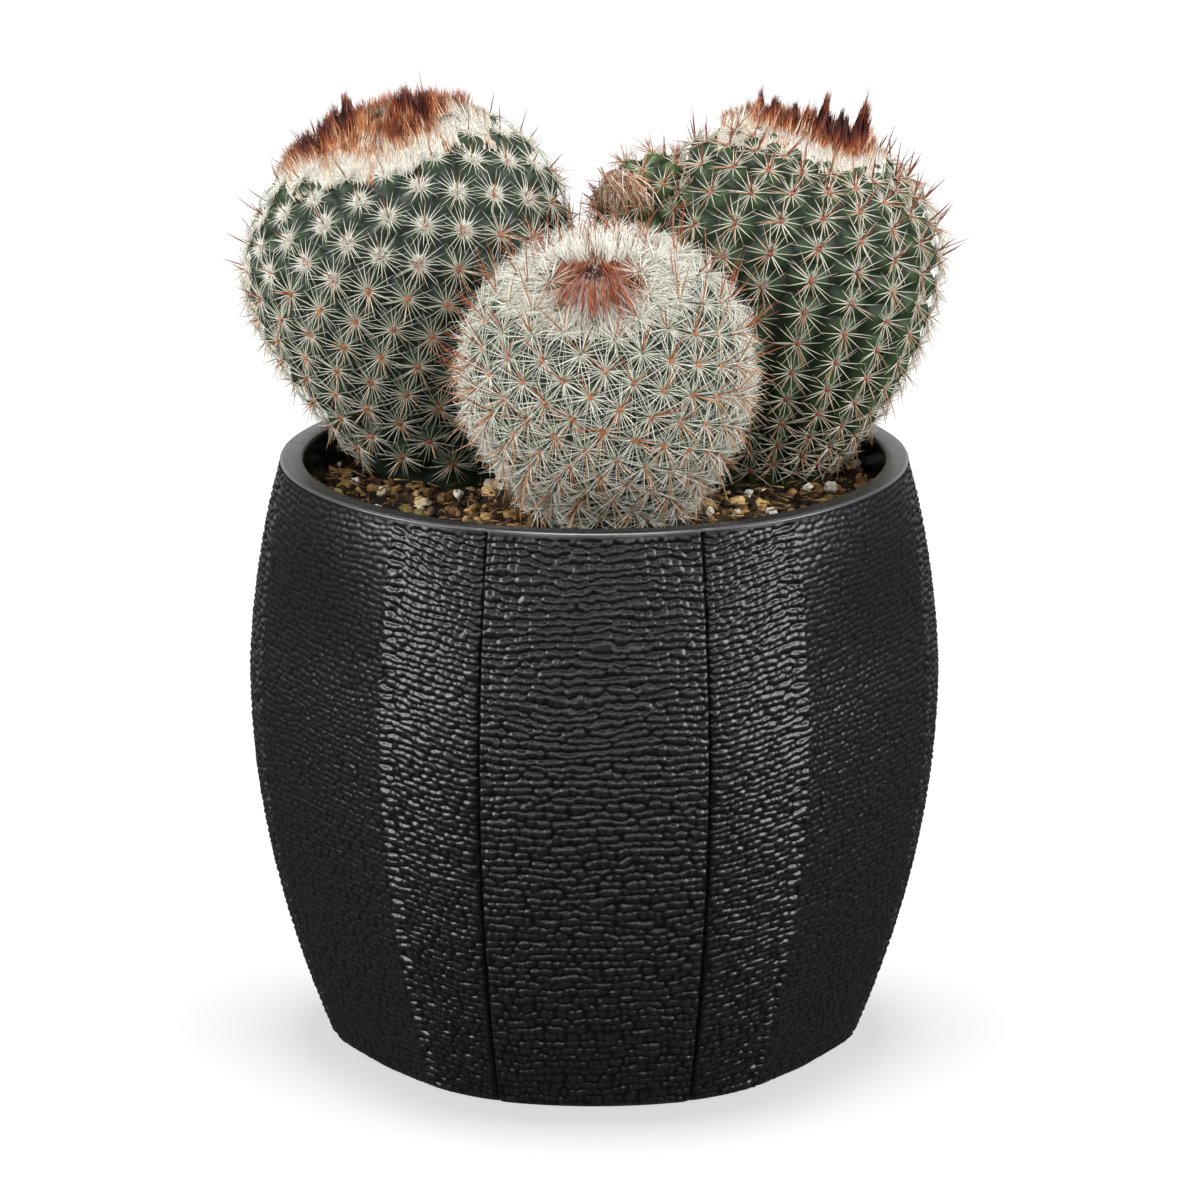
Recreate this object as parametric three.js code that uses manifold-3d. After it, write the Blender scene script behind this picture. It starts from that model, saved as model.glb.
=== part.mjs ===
// A dark barrel-shaped planter with three round spiny cactus heads, one of them with a small offset.
// Millimetres, +Z up. The origin is the centre of the pot's base, and the front of the pot faces -Y.

import * as THREE from 'three';
import { mergeVertices } from 'three/addons/utils/BufferGeometryUtils.js';
import { ConvexHull } from 'three/addons/math/ConvexHull.js';
import Module from 'manifold-3d';

const wasm = await Module();
wasm.setup();

const FULL_TURN = 2 * Math.PI;
const GOLDEN_ANGLE = Math.PI * (3 - Math.sqrt(5));
const WELD = 1e-4;              // points closer together than this are one point

// ---- driving dimensions ----

const POT = {
  height: 122.5,
  baseRadius: 54.5,
  bellyRadius: 71.8,
  bellyHeight: 77,
  rimRadius: 64.2,
  lowerCurve: 1.95,        // how quickly the side swells from the base to the belly
  upperCurve: 1.75,         // and how it closes again from the belly to the rim
  floor: 6,
  wall: 3.2,                // thinnest wall, behind the flattened panels
  rimBevel: 0.5,
  footBevel: 0.6,
  rows: 12,
  wallSides: 32,            // of the round inner wall
  cavityLevels: [0, 0.15, 0.4, 0.7, 1],
  colour: 0x2b2c30,
  roughness: 0.55,
};

const PANELS = {
  repeats: 3,               // proud panel, narrow panel, flattened panel, narrow panel
  seamOffset: 7.5,          // half width of a proud panel is seamOffset + seamShare * radius
  seamShare: 0.224,
  seamStep: 0.4,            // how far a proud panel stands above its neighbours
  grooveDepth: 0.9,
  grooveHalfWidth: 0.4,
  narrowBulge: 0.2,         // how far a narrow panel stands proud of the straight line to its ridge
  ridgeAngle: THREE.MathUtils.degToRad(39),
  flatCentre: THREE.MathUtils.degToRad(60),
  flatQuarter: THREE.MathUtils.degToRad(50),
  ridgeDrop: 0.04,          // a ridge lies this share of the radius inside the hoop
  bulge: 0.3,               // 0 would be a flat panel and 1 a round one
  fadeFrom: 0.7,            // the panels soften from this share of the height up to the rim
  fadeBy: 0.7,
};

const SOIL = {
  level: 114.5,
  clearance: 0.3,
  holeSlack: 0.35,
  lump: 0.7,
  topRings: 6,
  stones: 24,
  stoneSizes: [0.9, 1.9],
  stoneWidths: [0.7, 1],    // shares of a stone's length
  stoneHeights: [0.6, 0.85],
  stoneRise: 0.3,           // share of a stone's size by which its middle stands above the soil
  stoneFromWall: 2,
  stoneFromHead: 3,
  seed: 7,
  colour: 0x2d2019,
  roughness: 0.95,
};

const FLESH_ROUGHNESS = 0.6;

// Each head is swept along a curved axis from its base in the soil, past a bend, to its apex.
// radius: at the widest place; widest: its place as a share of the axis; neck: the stem in the soil.
const HEADS = {
  left: {
    base: [-29.9, 16.5, 106],
    bend: [-30.4, 25, 146.5],
    apex: [-47.1, 16.5, 185.4],
    radius: 33.1,
    widest: 0.66,
    neck: 10.5,
    underside: 1.75,
    taper: 0.75,
    crown: 2.15,
    tubercles: 215,
    tubercleHeight: 1.9,
    spine: 4.6,
    spineWidth: 0.5,
    tuft: { count: 46, radius: 15.5, lengths: [5.5, 9], lean: 0.25 },
    colour: 0x4c6350,
    seed: 11,
  },
  right: {
    base: [34.2, 15.5, 106],
    bend: [35.1, 22.5, 148.5],
    apex: [47.2, 20, 183.8],
    radius: 29.5,
    widest: 0.65,
    neck: 9,
    underside: 1.9,
    taper: 0.8,
    crown: 2.5,
    columns: 20,
    columnPitch: 7.4,
    ribbedTo: 0.62,
    tubercleHeight: 2,
    spine: 5,
    spineWidth: 0.5,
    tuft: { count: 40, radius: 13, lengths: [6, 9.5], lean: 0.2 },
    colour: 0x45604a,
    seed: 23,
  },
  front: {
    base: [3.6, -23.5, 106],
    bend: [3.9, -24.5, 140.9],
    apex: [0.3, -37.5, 171.5],
    radius: 27.8,
    widest: 0.6,
    neck: 12.2,
    underside: 1.75,
    taper: 1.08,
    crown: 2.2,
    tubercles: 232,
    tubercleHeight: 1.6,
    spine: 5.2,
    spineWidth: 0.5,
    tuft: { count: 44, radius: 8, lengths: [7, 12.5], lean: 0.75 },
    colour: 0x9aa697,
    seed: 37,
  },
};

// The offset grows from the left flank of the right head.
const OFFSET = {
  base: [27, 21, 163.5],
  bend: [18, 20.5, 165.5],
  apex: [3.2, 15, 175],
  radius: 11.8,
  widest: 0.62,
  neck: 6,
  underside: 1.8,
  taper: 0.6,
  crown: 2.1,
  tubercles: 54,
  tubercleHeight: 1.6,
  spine: 3.6,
  spineWidth: 0.45,
  tuft: { count: 14, radius: 4.5, lengths: [4, 6], lean: 0.6 },
  seed: 51,
};

const SPINES = {
  sides: 3,
  root: 1.2,                // how deep a spine is rooted
  offTip: 0.75,             // where it leaves its tubercle, measured from the tip
  spread: 0.3,              // random tilt away from the surface's normal
  downhill: 0.15,           // and how far it leans down its tubercle
  lengths: [0.85, 1.15],    // shares of the head's own spine length
  shortest: 1.4,            // a spine that would come out shorter than this is left out
  tuftRoot: 2.4,
  tuftSway: 0.15,
  tuftWidth: 1.2,           // a crown spine's width against a tubercle's
};

// How a spine is kept off the neighbouring heads, the soil and the rim.
const CLEARANCE = {
  neighbour: 0.35,          // how far it stays on its own side of the gap between two heads
  soil: 2.2,
  rim: 0.8,
  spots: [0.1, 0.4, 0.7, 1], // shares of its length at which it is tested
  lastBend: 3,              // a blocked spine is bent upwards this many times
  bendStep: 0.35,
  trimStep: 0.4,            // and is then shortened by steps
  worthKeeping: 0.6,        // share of its length below which it is bent before it is shortened
};

const SURFACE = {
  axisSteps: 64,
  bottomSteps: 8,           // stations across a head's flat bottom
  meridianSteps: 240,
  apexCrowding: 1.5,        // the stations lie closer together towards the apex
  mapRadius: 0.05,          // smallest radius that the stretch map divides by
  mapPole: 0.999999,        // greatest height on the unit ball that the map is read at
  neckSides: 10,
  aboveSoil: 2.2,           // tubercles start this far above the soil
  tipRise: 0.35,            // share of a tubercle's height above the head's plain surface
  fullDepthSpacing: 6,      // tubercles closer together than this have shallower valleys between them
  columnCrowding: 0.6,      // how quickly the tubercles of a column close up where the head narrows
  rimFlare: 0.9,            // the widest flare of a head's side past the rim
};

const STEM_HOLE = { steps: 4, sides: 20 };

// ---- small helpers ----

function seededRandom(seed) {
  let state = seed >>> 0;
  return () => {
    state = (state + 0x6d2b79f5) >>> 0;
    let t = state;
    t = Math.imul(t ^ (t >>> 15), t | 1);
    t ^= t + Math.imul(t ^ (t >>> 7), t | 61);
    return ((t ^ (t >>> 14)) >>> 0) / 2 ** 32;
  };
}

function between(random, [low, high]) {
  return low + (high - low) * random();
}

function randomTilt(random, size) {
  const range = [-size, size];
  return new THREE.Vector3(between(random, range), between(random, range), between(random, range));
}

function toSolid(geometry) {
  const bare = geometry.clone();
  bare.deleteAttribute('normal');
  bare.deleteAttribute('uv');
  const merged = mergeVertices(bare, WELD);
  return new wasm.Manifold(new wasm.Mesh({
    numProp: 3,
    vertProperties: new Float32Array(merged.attributes.position.array),
    triVerts: new Uint32Array(merged.index.array),
  }));
}

function toGeometry(solid) {
  const mesh = solid.getMesh();
  const geometry = new THREE.BufferGeometry();
  geometry.setAttribute('position', new THREE.BufferAttribute(new Float32Array(mesh.vertProperties), 3));
  geometry.setIndex(new THREE.BufferAttribute(new Uint32Array(mesh.triVerts), 1));
  geometry.computeVertexNormals();
  return geometry;
}

function largestBody(solid) {
  const bodies = solid.decompose();
  return bodies.reduce((a, b) => (a.volume() > b.volume() ? a : b));
}

function indexedGeometry(points, faces) {
  const geometry = new THREE.BufferGeometry();
  const positions = points.flatMap((p) => [p.x, p.y, p.z]);
  geometry.setAttribute('position', new THREE.Float32BufferAttribute(positions, 3));
  geometry.setIndex(faces.flat());
  return geometry;
}

// A closed solid through rings of equal size, listed upwards and turning left, with a flat fan at each end.
function loftRings(rings) {
  const sides = rings[0].length;
  const points = rings.flat();
  const faces = [];
  for (let ring = 0; ring + 1 < rings.length; ring += 1) {
    for (let side = 0; side < sides; side += 1) {
      const next = (side + 1) % sides;
      const a = ring * sides + side;
      const b = ring * sides + next;
      faces.push([a, b, b + sides], [a, b + sides, a + sides]);
    }
  }
  const closeEnd = (ring, upwards) => {
    const centre = points.length;
    const sum = ring.reduce((total, p) => total.add(p), new THREE.Vector3());
    points.push(sum.divideScalar(sides));
    const first = upwards ? (rings.length - 1) * sides : 0;
    for (let side = 0; side < sides; side += 1) {
      const a = first + side;
      const b = first + (side + 1) % sides;
      faces.push(upwards ? [a, b, centre] : [b, a, centre]);
    }
  };
  closeEnd(rings[0], false);
  closeEnd(rings[rings.length - 1], true);
  return indexedGeometry(points, faces);
}

// ---- the pot ----

function hoopRadius(z) {
  if (z < POT.bellyHeight) {
    const below = (POT.bellyHeight - z) / POT.bellyHeight;
    return POT.bellyRadius - (POT.bellyRadius - POT.baseRadius) * below ** POT.lowerCurve;
  }
  const above = (z - POT.bellyHeight) / (POT.height - POT.bellyHeight);
  return POT.bellyRadius - (POT.bellyRadius - POT.rimRadius) * above ** POT.upperCurve;
}

function panelStrength(z) {
  return 1 - PANELS.fadeBy * THREE.MathUtils.smoothstep(z / POT.height, PANELS.fadeFrom, 1);
}

function ridgeRadius(z) {
  return hoopRadius(z) * (1 - PANELS.ridgeDrop * panelStrength(z));
}

// The flattened panel between two ridges, at an angle measured from the panel's centre.
function flatRadius(z, fromCentre) {
  const ridge = ridgeRadius(z);
  const halfAngle = PANELS.flatCentre - PANELS.ridgeAngle;
  const chord = ridge * Math.cos(halfAngle) / Math.cos(fromCentre);
  const bulge = 1 - (1 - PANELS.bulge) * panelStrength(z);
  return chord + bulge * (ridge - chord);
}

// One side of a proud panel's centre line, as angle and radius, out to the next flattened panel.
function halfSection(z) {
  const hoop = hoopRadius(z);
  const seam = Math.asin((PANELS.seamOffset + PANELS.seamShare * hoop) / hoop);
  const groove = PANELS.grooveHalfWidth / hoop;
  const lower = hoop - PANELS.seamStep;
  const narrowMiddle = (seam + PANELS.ridgeAngle) / 2;
  return [
    [seam / 2, hoop],
    [seam - groove, hoop],
    [seam, hoop - PANELS.grooveDepth],
    [seam + groove, lower],
    [narrowMiddle, (lower + ridgeRadius(z)) / 2 + PANELS.narrowBulge],
    [PANELS.ridgeAngle, ridgeRadius(z)],
    [PANELS.flatQuarter, flatRadius(z, PANELS.flatCentre - PANELS.flatQuarter)],
  ];
}

function potSection(z, inset = 0) {
  const half = halfSection(z);
  const third = [
    [-PANELS.flatCentre, flatRadius(z, 0)],
    ...half.toReversed().map(([angle, radius]) => [-angle, radius]),
    [0, hoopRadius(z)],
    ...half,
  ];
  const ring = [];
  for (let repeat = 0; repeat < PANELS.repeats; repeat += 1) {
    const centre = repeat * FULL_TURN / PANELS.repeats - Math.PI / 2;
    for (const [angle, radius] of third) {
      const reach = radius - inset;
      ring.push(new THREE.Vector3(reach * Math.cos(centre + angle), reach * Math.sin(centre + angle), z));
    }
  }
  return ring;
}

const CAVITY_LEVELS = POT.cavityLevels.map((share) => POT.floor + share * (POT.height - POT.floor));

// The round inner wall, straight between its levels.
function cavityRadius(z) {
  const above = Math.max(1, CAVITY_LEVELS.findIndex((level) => level >= z));
  const [low, high] = [CAVITY_LEVELS[above - 1], CAVITY_LEVELS[above]];
  const [inLow, inHigh] = [low, high].map((level) => flatRadius(level, 0) - POT.wall);
  return inLow + (inHigh - inLow) * (z - low) / (high - low);
}

function roundRing(radius, z) {
  const ring = [];
  for (let side = 0; side < POT.wallSides; side += 1) {
    const angle = side * FULL_TURN / POT.wallSides;
    ring.push(new THREE.Vector3(radius * Math.cos(angle), radius * Math.sin(angle), z));
  }
  return ring;
}

function buildPot() {
  const rings = [potSection(0, POT.footBevel)];
  const bodyBottom = POT.footBevel;
  const bodyTop = POT.height - POT.rimBevel;
  for (let row = 0; row <= POT.rows; row += 1) {
    rings.push(potSection(bodyBottom + (bodyTop - bodyBottom) * row / POT.rows));
  }
  rings.push(potSection(bodyTop, POT.rimBevel).map((p) => p.setZ(POT.height)));
  const cavityRings = CAVITY_LEVELS.map((z) => roundRing(cavityRadius(z), z));
  cavityRings.push(roundRing(cavityRadius(POT.height), POT.height + POT.wall));
  return toSolid(loftRings(rings)).subtract(toSolid(loftRings(cavityRings)));
}

// ---- a cactus head ----

// Samples the axis once, with a frame at each step that turns as little as possible.
function sampleAxis(shape) {
  const corners = [shape.base, shape.bend, shape.apex].map((p) => new THREE.Vector3(...p));
  const curve = new THREE.QuadraticBezierCurve3(...corners);
  const length = curve.getLength();
  const frames = [];
  let side = new THREE.Vector3(1, 0, 0);
  for (let step = 0; step <= SURFACE.axisSteps; step += 1) {
    const tangent = curve.getTangentAt(step / SURFACE.axisSteps);
    side = side.clone().addScaledVector(tangent, -side.dot(tangent)).normalize();
    const across = tangent.clone().cross(side);
    frames.push({ place: curve.getPointAt(step / SURFACE.axisSteps), tangent, side, across });
  }
  return { frames, length };
}

// The half outline of the head: radius against the share of the axis, without the flat bottom.
function outlineRadius(shape, share) {
  if (share >= shape.widest) {
    const above = (share - shape.widest) / (1 - shape.widest);
    return shape.radius * Math.max(0, 1 - above ** shape.crown) ** (1 / shape.crown);
  }
  const below = (shape.widest - share) / shape.widest;
  const swell = (shape.radius ** 4 - shape.neck ** 4) ** 0.25;
  const full = swell * (1 - below ** shape.underside) ** shape.taper;
  return (full ** 4 + shape.neck ** 4) ** 0.25;
}

// The meridian from the middle of the flat bottom to the apex, with its length and its stretch map:
// map is the coordinate in which equal steps along and around the surface look square.
function sampleMeridian(shape, length) {
  const stations = [];
  for (let step = 1; step <= SURFACE.bottomSteps; step += 1) {
    stations.push({ share: 0, radius: shape.neck * step / SURFACE.bottomSteps });
  }
  for (let step = 1; step < SURFACE.meridianSteps; step += 1) {
    const share = 1 - (1 - step / SURFACE.meridianSteps) ** SURFACE.apexCrowding;
    stations.push({ share, radius: outlineRadius(shape, share) });
  }
  let map = 0;
  let area = 0;
  stations.forEach((station, index) => {
    if (index > 0) {
      const before = stations[index - 1];
      const along = Math.hypot((station.share - before.share) * length, station.radius - before.radius);
      const radius = Math.max(SURFACE.mapRadius, (station.radius + before.radius) / 2);
      map += along / radius;
      area += along * radius * FULL_TURN;
    }
    station.map = map;
    station.area = area;
  });
  const widest = stations.reduce((a, b) => (a.radius > b.radius ? a : b)).map;
  stations.forEach((station) => {
    station.map -= widest;
  });
  return stations;
}

function lookUp(stations, key, value) {
  let low = 0;
  let high = stations.length - 1;
  if (value <= stations[low][key]) {
    return { ...stations[low], index: 0 };
  }
  if (value >= stations[high][key]) {
    return { ...stations[high], index: high };
  }
  while (high - low > 1) {
    const middle = (low + high) >> 1;
    if (stations[middle][key] <= value) {
      low = middle;
    } else {
      high = middle;
    }
  }
  const a = stations[low];
  const b = stations[high];
  const blend = (value - a[key]) / (b[key] - a[key]);
  const mixed = { index: low };
  for (const name of ['share', 'radius', 'map', 'area']) {
    mixed[name] = a[name] + (b[name] - a[name]) * blend;
  }
  return mixed;
}

function axisFrame(head, share) {
  const at = THREE.MathUtils.clamp(share, 0, 1) * SURFACE.axisSteps;
  const step = Math.min(SURFACE.axisSteps - 1, Math.floor(at));
  const blend = at - step;
  const a = head.frames[step];
  const b = head.frames[step + 1];
  return {
    place: a.place.clone().lerp(b.place, blend),
    tangent: a.tangent.clone().lerp(b.tangent, blend).normalize(),
    side: a.side.clone().lerp(b.side, blend).normalize(),
    across: a.across.clone().lerp(b.across, blend).normalize(),
  };
}

// The point and the outward normal of a head's plain surface.
function surfaceAt(head, station, angle) {
  const frame = axisFrame(head, station.share);
  const last = head.stations.length - 1;
  const before = head.stations[Math.max(0, station.index - 1)];
  const after = head.stations[Math.min(last, station.index + 2)];
  const along = (after.share - before.share) * head.length;
  const out = after.radius - before.radius;
  const size = Math.hypot(along, out);
  const radial = frame.side.clone().multiplyScalar(Math.cos(angle));
  radial.addScaledVector(frame.across, Math.sin(angle));
  const normal = radial.clone().multiplyScalar(along / size).addScaledVector(frame.tangent, -out / size);
  const point = frame.place.clone().addScaledVector(radial, station.radius);
  return { point, normal };
}

// Tubercles in the spiral of a growing head, evenly over its area.
function spiralPlaces(head, startArea) {
  const { shape, stations } = head;
  const endArea = stations[stations.length - 1].area;
  const places = [];
  for (let n = 0; n < shape.tubercles; n += 1) {
    const area = startArea + (endArea - startArea) * (n + 0.5) / shape.tubercles;
    places.push({ station: lookUp(stations, 'area', area), angle: n * GOLDEN_ANGLE });
  }
  return places;
}

// Tubercles in upright columns, each column half a step above its neighbour.
function columnPlaces(head, startMap) {
  const { shape, stations } = head;
  const places = [];
  const columnPairs = shape.columns / 2;
  let row = 0;
  let map = startMap;
  while (true) {
    const station = lookUp(stations, 'map', map);
    if (station.share > shape.widest && station.radius < shape.columnPitch / 2) {
      break;
    }
    for (let pair = 0; pair < columnPairs; pair += 1) {
      const column = 2 * pair + row % 2;
      places.push({ station, angle: column * FULL_TURN / shape.columns, column });
    }
    const pitch = shape.columnPitch / 2 * (station.radius / shape.radius) ** SURFACE.columnCrowding;
    map += pitch / station.radius;
    row += 1;
  }
  const apex = stations[stations.length - 1];
  places.push({ station: { ...apex, index: stations.length - 2 }, angle: 0 });
  return places;
}

// The place on a unit ball that a point of the stretched meridian maps to.
function onBall(map, angle) {
  const height = Math.tanh(map);
  const reach = 1 / Math.cosh(map);
  return new THREE.Vector3(reach * Math.cos(angle), reach * Math.sin(angle), height);
}

function fromBall(head, ball) {
  const height = THREE.MathUtils.clamp(ball.z, -SURFACE.mapPole, SURFACE.mapPole);
  return { station: lookUp(head.stations, 'map', Math.atanh(height)), angle: Math.atan2(ball.y, ball.x) };
}

function makeHead(shape) {
  const { frames, length } = sampleAxis(shape);
  const head = { shape, frames, length };
  head.stations = sampleMeridian(shape, length);
  const lowest = SOIL.level + SURFACE.aboveSoil;
  const start = head.stations.find((s) => s.share > 0 && axisFrame(head, s.share).place.z >= lowest);
  head.places = shape.columns ? columnPlaces(head, start.map) : spiralPlaces(head, start.area);
  head.reach = insideReach(head);
  return head;
}

// The largest ball inside the head round each place of its axis.
function insideReach(head) {
  return head.frames.map((frame, step) => {
    const along = step / SURFACE.axisSteps * head.length;
    const gaps = head.stations.map((s) => Math.hypot(s.share * head.length - along, s.radius));
    return Math.min(...gaps);
  });
}

function distanceTo(head, point) {
  const gaps = head.frames.map((frame, step) => frame.place.distanceTo(point) - head.reach[step]);
  return Math.min(...gaps);
}

// Where a head leans over the rim, it lies against it and keeps a small gap.
function clearOfRim(point) {
  const aboveRim = point.z - POT.height - CLEARANCE.rim / 2;
  const limit = cavityRadius(POT.height) - CLEARANCE.rim + aboveRim * SURFACE.rimFlare;
  const reach = Math.hypot(point.x, point.y);
  if (reach > limit && point.z > SOIL.level) {
    point.x *= limit / reach;
    point.y *= limit / reach;
  }
  return point;
}

// A plain ring round the flat bottom: the stem in the soil carries no tubercles.
function neckPlaces(head) {
  const index = SURFACE.bottomSteps - 1;
  const station = { ...head.stations[index], index };
  const places = [];
  for (let side = 0; side < SURFACE.neckSides; side += 1) {
    places.push({ station, angle: side * FULL_TURN / SURFACE.neckSides, plain: true });
  }
  return places;
}

// The tip of a tubercle, a little above the head's plain surface.
function raiseTip(head, place) {
  const { point, normal } = surfaceAt(head, place.station, place.angle);
  const rise = place.plain ? 0 : head.shape.tubercleHeight * SURFACE.tipRise;
  place.tip = clearOfRim(point.addScaledVector(normal, rise));
  place.normal = normal;
  place.around = [];
  return place.tip;
}

// The bottom of the valley between three neighbouring tubercles, below the head's plain surface.
function sinkValley(head, corners, balls) {
  const middle = balls.reduce((sum, ball) => sum.add(ball), new THREE.Vector3()).normalize();
  const spot = fromBall(head, middle);
  const { point, normal } = surfaceAt(head, spot.station, spot.angle);
  const spacing = corners[0].tip.distanceTo(corners[1].tip);
  const fullDepth = head.shape.tubercleHeight * (1 - SURFACE.tipRise);
  const depth = fullDepth * Math.min(1, spacing / SURFACE.fullDepthSpacing);
  if (!corners.some((place) => place.plain)) {
    point.addScaledVector(normal, -depth);
  }
  corners.forEach((place) => place.around.push(point));
  return clearOfRim(point);
}

function inOneRib(shape, a, b) {
  const oneColumn = a.column !== undefined && a.column === b.column;
  return oneColumn && Math.max(a.station.share, b.station.share) < shape.ribbedTo;
}

// Tubercles as many-sided pyramids: each has its tip at its place, and the valleys run between them.
// In the ribbed part the pyramids of one column run together into a ridge.
function headSurface(head) {
  const places = [...neckPlaces(head), ...head.places];
  const balls = places.map((place) => onBall(place.station.map, place.angle));
  const hull = new ConvexHull().setFromPoints(balls);
  const number = new Map(hull.vertices.map((vertex, index) => [vertex.point, index]));
  const points = places.map((place) => raiseTip(head, place));

  const valleyOf = new Map();
  for (const face of hull.faces) {
    const corners = [0, 1, 2].map((n) => number.get(face.getEdge(n).head().point));
    valleyOf.set(face, points.length);
    points.push(sinkValley(head, corners.map((n) => places[n]), corners.map((n) => balls[n])));
  }

  const faces = [];
  for (const face of hull.faces) {
    for (let n = 0; n < 3; n += 1) {
      const edge = face.getEdge(n);
      const a = number.get(edge.tail().point);
      const b = number.get(edge.head().point);
      const ribbed = inOneRib(head.shape, places[a], places[b]);
      faces.push([a, ribbed ? b : valleyOf.get(edge.twin.face), valleyOf.get(face)]);
    }
  }
  return indexedGeometry(points, faces);
}

// A spine as a slim pyramid from its root to its tip.
function needle(root, tip, width) {
  const direction = tip.clone().sub(root).normalize();
  const side = new THREE.Vector3(0, 0, 1).cross(direction).normalize();
  const across = direction.clone().cross(side);
  const corners = [];
  const faces = [];
  for (let n = 0; n < SPINES.sides; n += 1) {
    const angle = n * FULL_TURN / SPINES.sides;
    const corner = root.clone().addScaledVector(side, width / 2 * Math.cos(angle));
    corners.push(corner.addScaledVector(across, width / 2 * Math.sin(angle)));
    faces.push([n, (n + 1) % SPINES.sides, SPINES.sides]);
  }
  faces.push([0, 2, 1]);
  return toSolid(indexedGeometry([...corners, tip], faces));
}

// A spine keeps to its own side of the gap between two heads, off the soil and off the pot.
function isClear(head, others, point) {
  const own = distanceTo(head, point);
  const nearNeighbour = others.some((other) => distanceTo(other, point) < own + CLEARANCE.neighbour);
  const inSoil = point.z < SOIL.level + CLEARANCE.soil;
  const overWall = Math.hypot(point.x, point.y) > cavityRadius(POT.height) - CLEARANCE.rim;
  const inPot = overWall && point.z < POT.height + CLEARANCE.rim;
  return !nearNeighbour && !inSoil && !inPot;
}

// The longest clear tip along a direction, bent up step by step where the straight way is blocked.
function clearTip(head, others, start, direction, length) {
  const { spots: shares, lastBend, bendStep, trimStep, worthKeeping } = CLEARANCE;
  for (let bend = 0; bend <= lastBend; bend += 1) {
    const way = direction.clone().add(new THREE.Vector3(0, 0, bendStep * bend)).normalize();
    for (let reach = length; reach >= SPINES.shortest; reach -= trimStep) {
      const spots = shares.map((share) => start.clone().addScaledVector(way, reach * share));
      const longEnough = reach > length * worthKeeping || bend === lastBend;
      if (longEnough && spots.every((spot) => isClear(head, others, spot))) {
        return { tip: spots[spots.length - 1], way };
      }
    }
  }
  return null;
}

// One spine on the side of each tubercle, at the middle of one of its facets.
function tubercleSpines(head, others, random) {
  const { shape } = head;
  const needles = [];
  for (const place of head.places) {
    const valley = place.around[Math.floor(random() * place.around.length)];
    const byDistance = place.around.toSorted((a, b) => a.distanceTo(valley) - b.distanceTo(valley));
    const facetMiddle = valley.clone().add(byDistance[1]).add(place.tip).divideScalar(3);
    const downhill = facetMiddle.sub(place.tip).normalize();
    const start = place.tip.clone().addScaledVector(downhill, SPINES.offTip);
    const direction = place.normal.clone().add(randomTilt(random, SPINES.spread));
    direction.addScaledVector(downhill, SPINES.downhill).normalize();
    const length = shape.spine * between(random, SPINES.lengths);
    const found = clearTip(head, others, start, direction, length);
    if (found) {
      const root = start.clone().addScaledVector(found.way, -SPINES.root);
      needles.push(needle(root, found.tip, shape.spineWidth));
    }
  }
  return needles;
}

// The long spines of the crown rise round the apex and spread a little outwards.
function tuftSpines(head, others, random) {
  const { shape } = head;
  const { tuft } = shape;
  const top = axisFrame(head, 1).tangent;
  const crownInwards = head.stations.filter((s) => s.share > shape.widest).toReversed();
  const needles = [];
  for (let n = 0; n < tuft.count; n += 1) {
    const reach = tuft.radius * Math.sqrt((n + 0.5) / tuft.count);
    const station = lookUp(crownInwards, 'radius', reach);
    const { point, normal } = surfaceAt(head, station, n * GOLDEN_ANGLE);
    const sway = randomTilt(random, SPINES.tuftSway);
    const direction = top.clone().lerp(normal, tuft.lean).add(sway).normalize();
    const found = clearTip(head, others, point, direction, between(random, tuft.lengths));
    if (found) {
      const root = point.clone().addScaledVector(found.way, -SPINES.tuftRoot);
      needles.push(needle(root, found.tip, shape.spineWidth * SPINES.tuftWidth));
    }
  }
  return needles;
}

// A head's body with its spines, ready to be fused.
function growHead(head, others) {
  const random = seededRandom(head.shape.seed);
  const body = toSolid(headSurface(head));
  return [body, ...tubercleSpines(head, others, random), ...tuftSpines(head, others, random)];
}

// ---- the soil ----

function soilRadius(z) {
  return cavityRadius(z) - SOIL.clearance;
}

function buildSoil(heads) {
  const random = seededRandom(SOIL.seed);
  const sideLevels = [POT.floor + SOIL.clearance, ...CAVITY_LEVELS.slice(1, -1), SOIL.level];
  const rings = sideLevels.map((z) => roundRing(soilRadius(z), z));
  for (let step = 1; step < SOIL.topRings; step += 1) {
    const ring = roundRing(soilRadius(SOIL.level) * (1 - step / SOIL.topRings), SOIL.level);
    rings.push(ring.map((p) => p.setZ(p.z + between(random, [-SOIL.lump, SOIL.lump]))));
  }
  const packed = toSolid(loftRings(rings)).add(wasm.Manifold.union(buildStones(heads, random)));
  const holed = heads.reduce((soil, head) => soil.subtract(stemHole(head)), packed);
  return largestBody(holed);
}

function buildStones(heads, random) {
  const stones = [];
  while (stones.length < SOIL.stones) {
    const angle = random() * FULL_TURN;
    const size = between(random, SOIL.stoneSizes);
    const reach = (cavityRadius(SOIL.level) - SOIL.stoneFromWall - size) * Math.sqrt(random());
    const place = new THREE.Vector3(reach * Math.cos(angle), reach * Math.sin(angle), SOIL.level);
    if (heads.every((head) => distanceTo(head, place) > SOIL.stoneFromHead + size)) {
      const stone = new THREE.OctahedronGeometry(size, 0);
      stone.scale(1, between(random, SOIL.stoneWidths), between(random, SOIL.stoneHeights));
      stone.rotateX(random());
      stone.rotateZ(random() * FULL_TURN);
      stone.translate(place.x, place.y, place.z + SOIL.stoneRise * size);
      stones.push(toSolid(stone));
    }
  }
  return stones;
}

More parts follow.
